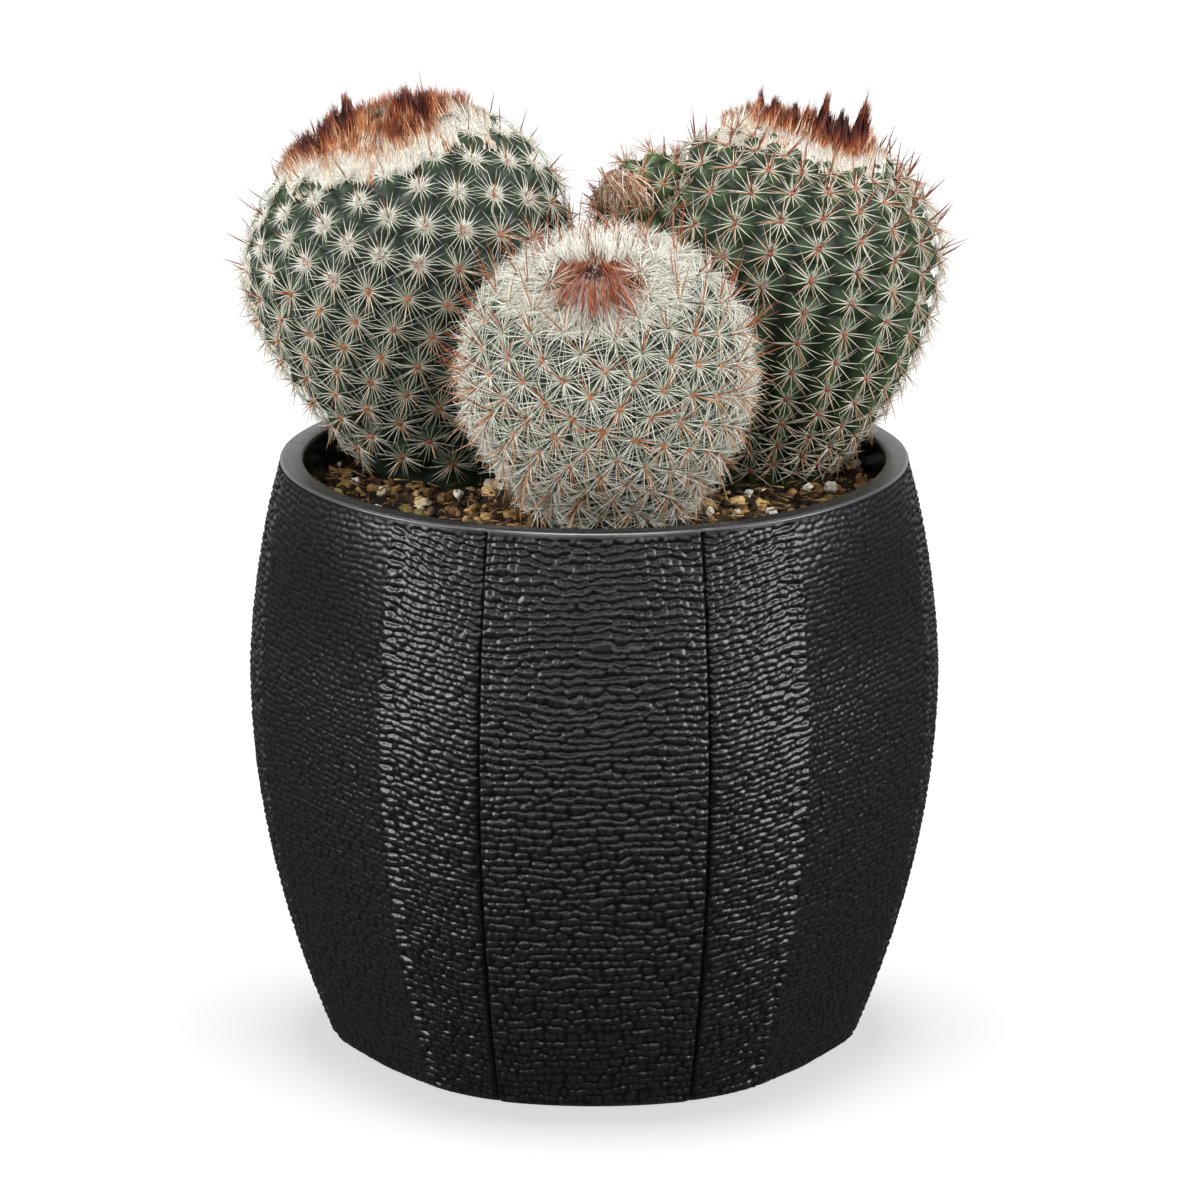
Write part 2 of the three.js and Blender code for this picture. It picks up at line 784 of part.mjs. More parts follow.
// The ring of a head's plain surface at a share of its axis, pushed outwards by a distance.
function headRing(head, share, outwards) {
  const frame = axisFrame(head, share);
  const radius = (outlineRadius(head.shape, share) + outwards) / Math.cos(Math.PI / STEM_HOLE.sides);
  const ring = [];
  for (let side = 0; side < STEM_HOLE.sides; side += 1) {
    const angle = side * FULL_TURN / STEM_HOLE.sides;
    const point = frame.place.clone().addScaledVector(frame.side, radius * Math.cos(angle));
    ring.push(point.addScaledVector(frame.across, radius * Math.sin(angle)));
  }
  return ring;
}

// A plain round hole round the stem, from just below its end to above the soil.
function stemHole(head) {
  const outwards = SOIL.clearance + SOIL.holeSlack + head.shape.tubercleHeight * SURFACE.tipRise;
  const above = SOIL.level + CLEARANCE.soil;
  let topShare = 0;
  while (headRing(head, topShare, outwards).some((p) => p.z <= above)) {
    topShare += 1 / SURFACE.axisSteps;
  }
  const foot = head.frames[0].tangent.clone().multiplyScalar(-2 * SOIL.clearance);
  const rings = [headRing(head, 0, outwards).map((p) => p.add(foot))];
  for (let step = 1; step <= STEM_HOLE.steps; step += 1) {
    rings.push(headRing(head, topShare * step / STEM_HOLE.steps, outwards));
  }
  return toSolid(loftRings(rings));
}

// ---- the assembly ----

function addMesh(group, name, solid, colour, roughness) {
  const material = new THREE.MeshStandardMaterial({ color: colour, roughness, metalness: 0 });
  const mesh = new THREE.Mesh(toGeometry(solid), material);
  mesh.name = name;
  group.add(mesh);
}

function buildPottedCactus() {
  const group = new THREE.Group();
  const left = makeHead(HEADS.left);
  const right = makeHead(HEADS.right);
  const front = makeHead(HEADS.front);
  const offset = makeHead(OFFSET);
  const fuse = (solids) => largestBody(wasm.Manifold.union(solids));

  addMesh(group, 'pot', buildPot(), POT.colour, POT.roughness);
  addMesh(group, 'soil', buildSoil([left, right, front]), SOIL.colour, SOIL.roughness);
  const leftSolid = fuse(growHead(left, [front, right, offset]));
  const frontSolid = fuse(growHead(front, [left, right, offset]));
  const rightSolid = fuse([...growHead(right, [front, left]), ...growHead(offset, [front, left])]);
  addMesh(group, 'cactus_left', leftSolid, HEADS.left.colour, FLESH_ROUGHNESS);
  addMesh(group, 'cactus_front', frontSolid, HEADS.front.colour, FLESH_ROUGHNESS);
  addMesh(group, 'cactus_right', rightSolid, HEADS.right.colour, FLESH_ROUGHNESS);
  return group;
}

export default buildPottedCactus();
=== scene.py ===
"""Looks of the potted round cactus: a dark grained planter, gritty soil and three spiny heads with an offset.

Lengths are in millimetres up to the point where a mesh is made. The shapes repeat the formulas of the
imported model, so every fine piece lies where its plain solid does.
"""

import math

import bpy
import numpy as np
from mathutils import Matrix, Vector, kdtree


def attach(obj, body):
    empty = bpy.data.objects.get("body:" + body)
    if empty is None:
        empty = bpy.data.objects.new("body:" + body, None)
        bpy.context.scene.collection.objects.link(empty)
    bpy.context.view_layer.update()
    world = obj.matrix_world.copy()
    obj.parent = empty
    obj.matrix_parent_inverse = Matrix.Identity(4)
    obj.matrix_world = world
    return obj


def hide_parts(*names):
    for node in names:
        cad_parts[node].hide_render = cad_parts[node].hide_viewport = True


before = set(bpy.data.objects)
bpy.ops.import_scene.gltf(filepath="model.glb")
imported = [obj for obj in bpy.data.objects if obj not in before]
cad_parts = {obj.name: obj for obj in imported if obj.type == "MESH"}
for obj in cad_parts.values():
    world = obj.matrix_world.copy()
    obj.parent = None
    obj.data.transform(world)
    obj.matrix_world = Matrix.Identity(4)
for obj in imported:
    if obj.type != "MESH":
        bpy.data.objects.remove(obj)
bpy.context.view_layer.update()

MM = 0.001
GOLDEN_ANGLE = math.pi * (3 - math.sqrt(5))

# ---- sizes that repeat the model's ----

POT = dict(height=122.5, base=54.5, belly=71.8, belly_height=77, rim=64.2, lower=1.95, upper=1.75,
           floor=6, wall=3.2)
PANELS = dict(seam_offset=7.5, seam_share=0.224, step=0.4, groove_depth=1.0, groove_half=0.5,
              narrow_bulge=0.2, ridge=math.radians(39), flat=math.radians(60), drop=0.04, bulge=0.3,
              fade_from=0.7, fade_by=0.7)
SOIL_LEVEL = 114.5

HEADS = {
    "left": dict(base=(-29.9, 16.5, 106), bend=(-30.4, 25, 146.5), apex=(-47.1, 16.5, 185.4),
                 radius=33.1, widest=0.66, neck=10.5, underside=1.75, taper=0.75, crown=2.15,
                 tubercles=215, height=2.3),
    "right": dict(base=(34.2, 15.5, 106), bend=(35.1, 22.5, 148.5), apex=(47.2, 20, 183.8),
                  radius=29.5, widest=0.65, neck=9, underside=1.9, taper=0.8, crown=2.5,
                  columns=20, pitch=7.4, ribbed_to=0.62, height=2.4),
    "front": dict(base=(3.6, -23.5, 106), bend=(3.9, -24.5, 140.9), apex=(0.3, -37.5, 171.5),
                  radius=27.8, widest=0.6, neck=12.2, underside=1.75, taper=1.08, crown=2.2,
                  tubercles=232, height=1.9),
    "offset": dict(base=(27, 21, 163.5), bend=(18, 20.5, 165.5), apex=(3.2, 15, 175),
                   radius=11.8, widest=0.62, neck=6, underside=1.8, taper=0.6, crown=2.1,
                   tubercles=54, height=1.9),
}
# the distance from a head's axis within which its tubercles lie low under the crown hair
HAIRY_WITHIN = {"left": 15, "right": 11, "front": 9, "offset": 0}
COLUMN_PHASE = math.radians(7)  # where the right head's first column of tubercles stands
TIP_RISE = 0.35                 # the share of a tubercle's height above the head's plain surface
FREE_OF_SOIL = 2.2              # tubercles start this far above the soil


# ---- camera: places in metres, the lens in millimetres ----

CAMERA = dict(distance=3.0, elevation=math.radians(14.58), aim=(0.00117, 0, 0.0922), lens=440.1)


def make_camera():
    data = bpy.data.cameras.new("camera")
    data.sensor_width = 36
    data.lens = CAMERA["lens"]
    data.clip_start = 0.1
    data.clip_end = 50
    camera = bpy.data.objects.new("camera", data)
    bpy.context.scene.collection.objects.link(camera)
    elevation = CAMERA["elevation"]
    back = Vector((0, -math.cos(elevation), math.sin(elevation)))
    camera.location = Vector(CAMERA["aim"]) + back * CAMERA["distance"]
    camera.rotation_euler = (math.pi / 2 - elevation, 0, 0)
    bpy.context.scene.camera = camera


make_camera()


# ---- small helpers ----

def unit(vectors):
    return vectors / np.maximum(np.linalg.norm(vectors, axis=-1, keepdims=True), 1e-9)


def mix(a, b, share):
    return a + (b - a) * share


def smoothstep(low, high, value):
    share = np.clip((value - low) / (high - low), 0, 1)
    return share * share * (3 - 2 * share)


def column(values):
    return np.asarray(values)[..., None]


def search_tree(points):
    tree = kdtree.KDTree(len(points))
    for number, point in enumerate(points):
        tree.insert(point, number)
    tree.balance()
    return tree


LATTICE = np.random.default_rng(2).random((32, 32, 32))


def field(points, size, seed=0):
    """Smooth random values from -1 to 1 that vary over about the given size."""
    at = np.asarray(points) / size + 7.3 * seed + 40
    cell = np.floor(at).astype(int)
    share = at - cell
    share = share * share * (3 - 2 * share)
    total = 0
    for corner in np.ndindex(2, 2, 2):
        weight = np.prod(np.where(corner, share, 1 - share), axis=-1)
        index = (cell + corner) % 32
        total = total + weight * LATTICE[index[..., 0], index[..., 1], index[..., 2]]
    return 2 * total - 1


def add_piece(name, points, faces, material, replaces=(), tints=None, smooth=True):
    """A mesh piece from points in millimetres and a list of face arrays, all of one length each."""
    mesh = bpy.data.meshes.new(name)
    points = np.asarray(points, np.float32) * MM
    mesh.vertices.add(len(points))
    mesh.vertices.foreach_set("co", points.ravel())
    corners = np.concatenate([np.asarray(block, np.int32).ravel() for block in faces])
    sizes = np.concatenate([np.full(len(block), np.shape(block)[1], np.int32) for block in faces])
    mesh.loops.add(len(corners))
    mesh.loops.foreach_set("vertex_index", corners)
    mesh.polygons.add(len(sizes))
    mesh.polygons.foreach_set("loop_start", np.concatenate([[0], np.cumsum(sizes)[:-1]]).astype(np.int32))
    mesh.polygons.foreach_set("use_smooth", np.full(len(sizes), smooth))
    mesh.update(calc_edges=True)
    if tints is not None:
        layer = mesh.color_attributes.new("tint", "FLOAT_COLOR", "POINT")
        rgba = np.ones((len(points), 4), np.float32)
        rgba[:, :3] = tints
        layer.data.foreach_set("color", rgba.ravel())
    mesh.materials.append(material)
    piece = bpy.data.objects.new(name, mesh)
    bpy.context.scene.collection.objects.link(piece)
    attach(piece, "root")
    if replaces:
        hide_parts(*replaces)
    return piece


def grid_faces(rows, columns, closed):
    """Quads between rows of points; closed joins the last column to the first."""
    row, col = np.meshgrid(np.arange(rows - 1), np.arange(columns if closed else columns - 1), indexing="ij")
    right = (col + 1) % columns
    above, below = row * columns, (row + 1) * columns
    return np.stack([above + col, above + right, below + right, below + col], axis=-1).reshape(-1, 4)


def tube_faces(count, rings, sides):
    """Faces of many closed tubes; each one's points are its rings, from its root up, and then its tip."""
    per = rings * sides + 1
    last = (rings - 1) * sides + np.arange(sides)
    cap = np.stack([last, np.roll(last, -1), np.full(sides, per - 1)], -1)
    base = np.arange(sides)[::-1][None]
    shift = (np.arange(count) * per)[:, None, None]
    return [(faces[None] + shift).reshape(-1, faces.shape[1])
            for faces in (grid_faces(rings, sides, True), cap, base)]


def border(grid):
    """The outer points or numbers of a grid, in one round."""
    return np.concatenate([grid[0], grid[1:, -1], grid[-1, :-1][::-1], grid[1:-1, 0][::-1]])


# ---- materials ----

def tinted_material(name, roughness, specular, grain, grain_size, bump=0.0, bump_size=1500.0):
    """The piece's own tints, varied by a fine grain that also moves the roughness, and a bump finer still."""
    material = bpy.data.materials.new(name)
    material.use_nodes = True
    nodes, links = material.node_tree.nodes, material.node_tree.links
    shader = nodes["Principled BSDF"]
    shader.inputs["Specular IOR Level"].default_value = specular

    def add(kind, **values):
        node = nodes.new("ShaderNode" + kind)
        for socket, value in values.items():
            node.inputs[socket.replace("_", " ")].default_value = value
        return node

    tint = add("Attribute")
    tint.attribute_name = "tint"
    place = add("TexCoord").outputs["Object"]
    noise = add("TexNoise", Scale=grain_size, Detail=4)
    level = add("MapRange", From_Min=0.3, From_Max=0.7, To_Min=1 - grain, To_Max=1 + grain)
    rough = add("MapRange", To_Min=roughness - 0.08, To_Max=roughness + 0.08)
    times = add("VectorMath")
    times.operation = "SCALE"
    links.new(place, noise.inputs["Vector"])
    links.new(noise.outputs["Fac"], level.inputs["Value"])
    links.new(noise.outputs["Fac"], rough.inputs["Value"])
    links.new(tint.outputs["Color"], times.inputs[0])
    links.new(level.outputs["Result"], times.inputs["Scale"])
    links.new(times.outputs["Vector"], shader.inputs["Base Color"])
    links.new(rough.outputs["Result"], shader.inputs["Roughness"])
    if bump:
        fine = add("TexNoise", Scale=bump_size, Detail=3)
        relief = add("Bump", Strength=bump, Distance=0.0002)
        links.new(place, fine.inputs["Vector"])
        links.new(fine.outputs["Fac"], relief.inputs["Height"])
        links.new(relief.outputs["Normal"], shader.inputs["Normal"])
    return material


# roughness, specular, grain and its size, bump and its size
SKIN = tinted_material("cactus_skin", 0.5, 0.32, 0.2, 700, 0.25, 2200)
SPINE = tinted_material("spines", 0.38, 0.45, 0.1, 1200)
WOOL = tinted_material("wool", 0.9, 0.1, 0.08, 2500)
GRAINED = tinted_material("pot_grain", 0.34, 0.5, 0.25, 1500, 0.15, 3000)
SMOOTH = tinted_material("pot_smooth", 0.25, 0.85, 0.06, 600, 0.06, 4000)
EARTH = tinted_material("soil", 0.8, 0.3, 0.4, 1100, 0.6, 1800)
GRIT = tinted_material("grit", 0.6, 0.4, 0.3, 1300, 0.5, 2500)


# ---- the pot ----

def hoop_radius(z):
    low = np.clip((POT["belly_height"] - z) / POT["belly_height"], 0, 1)
    high = np.clip((z - POT["belly_height"]) / (POT["height"] - POT["belly_height"]), 0, 1)
    return (POT["belly"] - (POT["belly"] - POT["base"]) * low ** POT["lower"]
            - (POT["belly"] - POT["rim"]) * high ** POT["upper"])


def panel_strength(z):
    return 1 - PANELS["fade_by"] * smoothstep(PANELS["fade_from"], 1, z / POT["height"])


def seam_angle(z):
    hoop = hoop_radius(z)
    return np.arcsin((PANELS["seam_offset"] + PANELS["seam_share"] * hoop) / hoop)


def flat_radius(z, from_centre):
    ridge = hoop_radius(z) * (1 - PANELS["drop"] * panel_strength(z))
    chord = ridge * math.cos(PANELS["flat"] - PANELS["ridge"]) / np.cos(from_centre)
    bulge = 1 - (1 - PANELS["bulge"]) * panel_strength(z)
    return chord + bulge * (ridge - chord)


RIM_INNER = flat_radius(POT["height"], 0) - POT["wall"]


def pot_radius(z, angle):
    """The pot's outer radius, at an angle from the middle of a proud panel."""
    hoop = hoop_radius(z)
    away = np.abs((angle + PANELS["flat"]) % (2 * PANELS["flat"]) - PANELS["flat"])
    seam = seam_angle(z)
    ridge = hoop * (1 - PANELS["drop"] * panel_strength(z))
    share = np.clip((away - seam) / (PANELS["ridge"] - seam), 0, 1)
    narrow = mix(hoop - PANELS["step"], ridge, share) + 4 * PANELS["narrow_bulge"] * share * (1 - share)
    flat = flat_radius(z, PANELS["flat"] - np.maximum(away, PANELS["ridge"]))
    radius = np.where(away < seam, hoop, np.where(away < PANELS["ridge"], narrow, flat))
    from_seam = np.abs(away - seam) * hoop
    groove = PANELS["groove_depth"] * np.clip(1 - from_seam / (1.6 * PANELS["groove_half"]), 0, 1) ** 0.7
    return radius - groove


# Rows of oval lumps: pitch of the rows, spacing in a row, a lump's half length and half height, its tilt,
# the sway of the rows over long, middle and short distances, and the depth of the relief.
GRAINS = {
    "proud": dict(pitch=1.62, spacing=1.6, half=(1.3, 1.0), tilt=0.45, sway=(1.1, 0.6, 0.36), depth=0.66),
    "narrow": dict(pitch=1.36, spacing=1.35, half=(1.0, 0.84), tilt=0.35, sway=(0.7, 0.45, 0.28), depth=0.64),
    "bar": dict(pitch=1.66, spacing=2.7, half=(2.2, 1.0), tilt=0.15, sway=(0.5, 0.35, 0.2), depth=0.85),
    "facet": dict(pitch=1.26, spacing=1.6, half=(1.25, 0.8), tilt=0.3, sway=(0.8, 0.4, 0.25), depth=0.46),
}
SWAY_SIZES = (15, 3.6, 1.4)
GRAIN_HOOP = 66                # the radius at which the lumps are laid out round the pot
BAR_FADES = (4.6, 3.2)         # distances from a ridge between which its bar of long lumps sets in
RELIEF_FADES = (120.7, 121.35)  # heights between which the relief dies out below the rim
THIRD = 2 * PANELS["flat"]
POT_TINT = np.array([0.0075, 0.008, 0.0095])
RIM_TINT = (0.014, 0.0145, 0.016)
# a lighter tint on the rim's outer bevel: a painted highlight, added to the lamps' own
PAINTED_BEVEL_HIGHLIGHT = (0.07, 0.07, 0.075)


def dice(a, b, seed):
    """Random values from 0 to 1 for whole-number places."""
    return LATTICE[(a + 5 * seed) % 32, (b + 11 * seed) % 32, (3 * seed + a // 32 + 7 * (b // 32)) % 32]


def wrinkles(kind, along, up, slant):
    """Height of overlapping oval lumps in wavy rows: 1 on the highest crowns, towards 0 in the creases."""
    grain = GRAINS[kind]
    flat = np.stack([along, up, 0 * up], axis=-1)
    wide = flat * [0.6, 1, 1]
    sway = 0
    for seed, (amount, size) in enumerate(zip(grain["sway"], SWAY_SIZES), 1):
        sway = sway + amount * field(flat if seed == 1 else wide, size, seed)
    row_at = (up - slant * along + sway) / grain["pitch"]
    row = np.floor(row_at).astype(int)
    long, tall = grain["half"]
    height = np.zeros(np.shape(along))
    for step in (-1, 0, 1):
        near_row = row + step
        lump_at = along / grain["spacing"] + 17 * dice(near_row, near_row // 9, 1)
        lump = np.floor(lump_at).astype(int)
        for side in (-1, 0, 1):
            near = lump + side
            gap_along = (lump_at - near - 0.5 - 0.7 * (dice(near, near_row, 2) - 0.5)) * grain["spacing"]
            gap_up = (row_at - near_row - 0.5 - 0.34 * (dice(near, near_row, 3) - 0.5)) * grain["pitch"]
            turn = grain["tilt"] * (2 * dice(near, near_row, 4) - 1)
            size = 0.85 + 0.3 * dice(near, near_row, 5)
            lengthways = gap_along + turn * gap_up
            crossways = gap_up - turn * gap_along
            top = 0.8 + 0.2 * dice(near, near_row, 6)
            height = np.maximum(height, top - (lengthways / long / size) ** 2 - (crossways / tall) ** 2)
    return height


def panel_surface(z, angle):
    """Points of the grained side, and its tints with painted shade in the creases and seam grooves, at
    heights and angles from the middle of a proud panel.
    """
    plain = pot_radius(z, angle)
    spot = np.stack([plain * np.sin(angle), plain * np.cos(angle), z], axis=-1)
    turned = (angle + PANELS["flat"]) % THIRD - PANELS["flat"]
    away, hand = np.abs(turned), np.sign(turned)
    from_seam = (away - seam_angle(z)) * plain
    from_ridge = (PANELS["ridge"] - away) * plain
    proud = smoothstep(0.15, -0.15, from_seam)
    facet = smoothstep(0.35, -0.35, from_ridge)
    bar = smoothstep(*BAR_FADES, from_ridge) * (1 - facet) * (1 - proud)
    relief, depth = 0, 0
    for kind, weight, slant in (("proud", proud, 0), ("facet", facet, 0), ("bar", bar, 0.03),
                                ("narrow", 1 - proud - facet - bar, 0.15)):
        if np.any(weight > 0):
            relief = relief + weight * wrinkles(kind, angle * GRAIN_HOOP, z, slant * hand)
            depth = depth + weight * GRAINS[kind]["depth"]
    in_groove = smoothstep(1.0, 0.2, np.abs(from_seam))
    near_top = smoothstep(*RELIEF_FADES, z)
    depth = depth * (1 - 0.85 * in_groove) * (1 - near_top) * (1 - 0.5 * facet * smoothstep(70, 112, z))
    fine = 0.03 * field(spot, 0.8, 4)
    radius = plain + depth * (relief - 0.75) + fine * (1 - near_top)
    points = np.stack([radius * np.sin(angle), -radius * np.cos(angle), z], axis=-1)
    # painted shade: the tint darkens from the lumps' crowns into their creases, and more in the seam grooves
    return points, (0.12 + 0.88 * smoothstep(0.3, 0.8, relief)) * (1 - 0.8 * in_groove)


def make_panel(name, start, end, columns):
    """One closed slab of the grained side, between two angles; its back lies inside the pot's wall."""
    rows = 480
    z = np.linspace(POT["height"] - 0.55, 0.35, rows)[:, None] + np.zeros((1, columns))
    angle = mix(start(z), end(z), np.linspace(0, 1, columns)[None, :])
    points, shade = panel_surface(z, angle)
    rounding = 0.6 * smoothstep(1.2, 0.3, z)
    points[..., :2] *= 1 - column(rounding / np.hypot(points[..., 0], points[..., 1]))
    inward = points.copy()
    inward[..., :2] *= 1 - column(1.6 / np.hypot(points[..., 0], points[..., 1]))
    back = border(inward)
    edge = border(np.arange(rows * columns).reshape(rows, columns))
    behind = rows * columns + np.arange(len(back))
    sides = np.stack([np.roll(edge, -1), edge, behind, np.roll(behind, -1)], axis=-1)
    # the tints carry the painted shade of the creases and grooves
    tints = POT_TINT * column(np.concatenate([shade.ravel(), np.full(len(back), 0.4)]))
    add_piece(name, np.concatenate([points.reshape(-1, 3), back]),
              [grid_faces(rows, columns, False)[:, ::-1], sides[:, ::-1]], GRAINED, tints=tints)


def make_pot_panels():
    for number in range(3):
        middle = number * THIRD
        make_panel(f"pot_proud_panel_{number + 1}", lambda z: middle - seam_angle(z),
                   lambda z: middle + seam_angle(z), 150)
        make_panel(f"pot_recessed_panel_{number + 1}", lambda z: middle + seam_angle(z),
                   lambda z: middle + THIRD - seam_angle(z), 205)


def make_pot_shell():
    """The smooth rim, the inner wall, and the wall behind the grained panels, as one turned shell."""
    sides = 360
    angle = np.arange(sides) * 2 * math.pi / sides
    top, lip = POT["height"], 0.62
    outer = mix(pot_radius(top - lip, angle), hoop_radius(top - lip) - 0.35, 0.75) + 0.15
    profile = [(0.01, 0), (hoop_radius(0) * 0.9, 0), (pot_radius(0, angle) - 1.4, 0)]
    profile += [(pot_radius(z, angle) - 1.1, z) for z in np.linspace(0.5, top - lip - 0.5, 24)]
    profile += [(outer - 0.3, top - lip - 0.1), (outer - 0.02, top - lip), (outer, top - lip + 0.08),
                (outer - 0.06, top - 0.36), (outer - 0.5, top - 0.05), (outer - 0.62, top),
                (RIM_INNER + 0.5, top), (RIM_INNER + 0.12, top - 0.12), (RIM_INNER, top - 0.5)]
    profile += [(flat_radius(z, 0) - POT["wall"], z) for z in np.linspace(top - 3, POT["floor"], 12)]
    profile.append((0.01, POT["floor"]))
    points = np.concatenate([
        np.stack([radius * np.sin(angle), -radius * np.cos(angle), np.full(sides, float(z))], axis=-1)
        for radius, z in profile])
    tints = np.tile(RIM_TINT, (len(points), 1))
    outside = np.hypot(points[:, 0], points[:, 1]) > RIM_INNER + 1.5
    # the band round the outer bevel takes the lighter tint, a painted highlight
    tints[outside & (np.abs(points[:, 2] - top + 0.2) < 0.17)] = PAINTED_BEVEL_HIGHLIGHT
    add_piece("pot_shell", points, [grid_faces(len(profile), sides, True)], SMOOTH, ["pot"], tints)


# ---- the heads' shape ----

class Head:
    """A head swept along a curved axis, with the places of its tubercles."""

    def __init__(self, shape):
        self.shape = shape
        self.sample_axis()
        self.sample_meridian()
        rising = np.interp(self.meridian["share"], self.steps, self.place[:, 2])
        free = (self.meridian["share"] > 0) & (rising >= SOIL_LEVEL + FREE_OF_SOIL)
        lowest = np.nonzero(free)[0][0]
        if "columns" in shape:
            self.column_places(self.meridian["map"][lowest])
        else:
            self.spiral_places(self.meridian["area"][lowest])

    def sample_axis(self):
        a, b, c = (np.array(self.shape[key], float) for key in ("base", "bend", "apex"))
        t = column(np.linspace(0, 1, 801))
        curve = (1 - t) ** 2 * a + 2 * t * (1 - t) * b + t ** 2 * c
        slope = unit(2 * (1 - t) * (b - a) + 2 * t * (c - b))
        run = np.concatenate([[0], np.cumsum(np.linalg.norm(np.diff(curve, axis=0), axis=1))])
        self.length = run[-1]
        self.steps = np.linspace(0, 1, 65)
        even = self.steps * self.length
        self.place = np.stack([np.interp(even, run, curve[:, k]) for k in range(3)], axis=-1)
        self.tangent = unit(np.stack([np.interp(even, run, slope[:, k]) for k in range(3)], axis=-1))
        side = np.array([1.0, 0, 0])
        sides = []
        for tangent in self.tangent:
            side = unit(side - tangent * (side @ tangent))
            sides.append(side)
        self.side = np.array(sides)
        self.across = np.cross(self.tangent, self.side)

    def outline(self, share):
        s = self.shape
        above = np.clip((share - s["widest"]) / (1 - s["widest"]), 0, 1)
        below = np.clip((s["widest"] - share) / s["widest"], 0, 1)
        swell = (s["radius"] ** 4 - s["neck"] ** 4) ** 0.25
        under = swell * (1 - below ** s["underside"]) ** s["taper"]
        under = (under ** 4 + s["neck"] ** 4) ** 0.25
        over = s["radius"] * (1 - above ** s["crown"]) ** (1 / s["crown"])
        return np.where(share >= s["widest"], over, under)

    def sample_meridian(self):
        share = 1 - (1 - np.arange(1, 240) / 240) ** 1.5
        bottom = self.shape["neck"] * np.arange(1, 9) / 8
        radius = np.concatenate([bottom, self.outline(share)])
        share = np.concatenate([np.zeros(8), share])
        step = np.hypot(np.diff(share) * self.length, np.diff(radius))
        middle = np.maximum(0.05, (radius[1:] + radius[:-1]) / 2)
        arc = np.concatenate([[0], np.cumsum(step)])
        stretch = np.concatenate([[0], np.cumsum(step / middle)])
        area = np.concatenate([[0], np.cumsum(step * middle * 2 * math.pi)])
        stretch = stretch - stretch[np.argmax(radius)]
        self.meridian = dict(share=share, radius=radius, arc=arc, map=stretch, area=area)
        self.meridian["along"] = np.gradient(share * self.length, arc)
        self.meridian["out"] = np.gradient(radius, arc)

    def surface(self, key, value, angle):
        """Points, outward normals and upward directions of the plain surface."""
        m = self.meridian
        share, radius, along, out = (np.interp(value, m[key], m[name])
                                     for name in ("share", "radius", "along", "out"))
        place, side, across, tangent = (
            np.stack([np.interp(share, self.steps, axis[:, k]) for k in range(3)], axis=-1)
            for axis in (self.place, self.side, self.across, self.tangent))
        radial = column(np.cos(angle)) * side + column(np.sin(angle)) * across
        point = place + column(radius) * radial
        normal = unit(column(along) * radial - column(out) * tangent)
        upward = unit(column(out) * radial + column(along) * tangent)
        return point, normal, upward

    def spiral_places(self, start):
        count = self.shape["tubercles"]
        end = self.meridian["area"][-1]
        area = start + (end - start) * (np.arange(count) + 0.5) / count
        self.spots = ("area", area, np.arange(count) * GOLDEN_ANGLE)

    def column_places(self, start):
        s, m = self.shape, self.meridian
        maps, angles, row, at = [], [], 0, start
        while True:
            share, radius = (np.interp(at, m["map"], m[name]) for name in ("share", "radius"))
            if share > s["widest"] and radius < s["pitch"] / 2:
                break
            for pair in range(s["columns"] // 2):
                maps.append(at)
                angles.append(COLUMN_PHASE + (2 * pair + row % 2) * 2 * math.pi / s["columns"])
            at += s["pitch"] / 2 * (radius / s["radius"]) ** 0.6 / radius
            row += 1
        self.spots = ("map", np.array(maps), np.array(angles))

    def share_of(self, key, value):
        return np.interp(value, self.meridian[key], self.meridian["share"])

    def inside(self, points, margin=0.0):
        """Whether points lie inside the head's plain surface, grown by a margin."""
        offsets = points[:, None, :] - self.place[None]
        nearest = np.argmin(np.linalg.norm(offsets, axis=-1), axis=1)
        rows = np.arange(len(points))
        along = np.einsum("ij,ij->i", offsets[rows, nearest], self.tangent[nearest])
        away = np.linalg.norm(offsets[rows, nearest] - column(along) * self.tangent[nearest], axis=-1)
        share = self.steps[nearest] + along / self.length
        reach = self.outline(np.clip(share, 0, 1))
        return (share > 0) & (share < 1 + margin / self.length) & (away < reach + margin)


HEAD = {name: Head(shape) for name, shape in HEADS.items()}


def cell_relief(head, points):
    """How high a point lies on its tubercle: 1 at the tip, 0 in the valley."""
    key, value, angle = head.spots
    tree = search_tree(head.surface(key, value, angle)[0])
    gaps = np.array([[found[2] for found in tree.find_n(point, 3)] for point in points.reshape(-1, 3)])
    near = gaps[:, 0] / np.maximum(1e-6, (gaps[:, 0] + gaps[:, 1]) / 2)
    corner = smoothstep(0.0, 0.5, (gaps[:, 2] - gaps[:, 0]) / np.maximum(gaps[:, 2], 1e-6))
    relief = (1 - np.clip(near, 0, 1) ** 1.7) * (0.75 + 0.25 * corner)
    return relief.reshape(points.shape[:-1])


def rib_relief(head, angle):
    """Upright ribs, one for each column of tubercles."""
    step = 2 * math.pi / head.shape["columns"]
    share = ((angle - COLUMN_PHASE) / step + 0.5) % 1 - 0.5
    return np.clip(np.cos(2 * math.pi * share) * 0.5 + 0.5, 0, 1) ** 0.8


def off_rim(points):
    """Where a head leans over the rim, it lies against it and keeps a small gap."""
    limit = RIM_INNER - 0.8 + (points[..., 2] - POT["height"] - 0.4) * 0.9
    reach = np.hypot(points[..., 0], points[..., 1])
    squeeze = np.where((reach > limit) & (points[..., 2] > SOIL_LEVEL), limit / np.maximum(reach, 1e-6), 1)
    squeezed = points.copy()
    squeezed[..., :2] *= column(squeeze)
    return squeezed


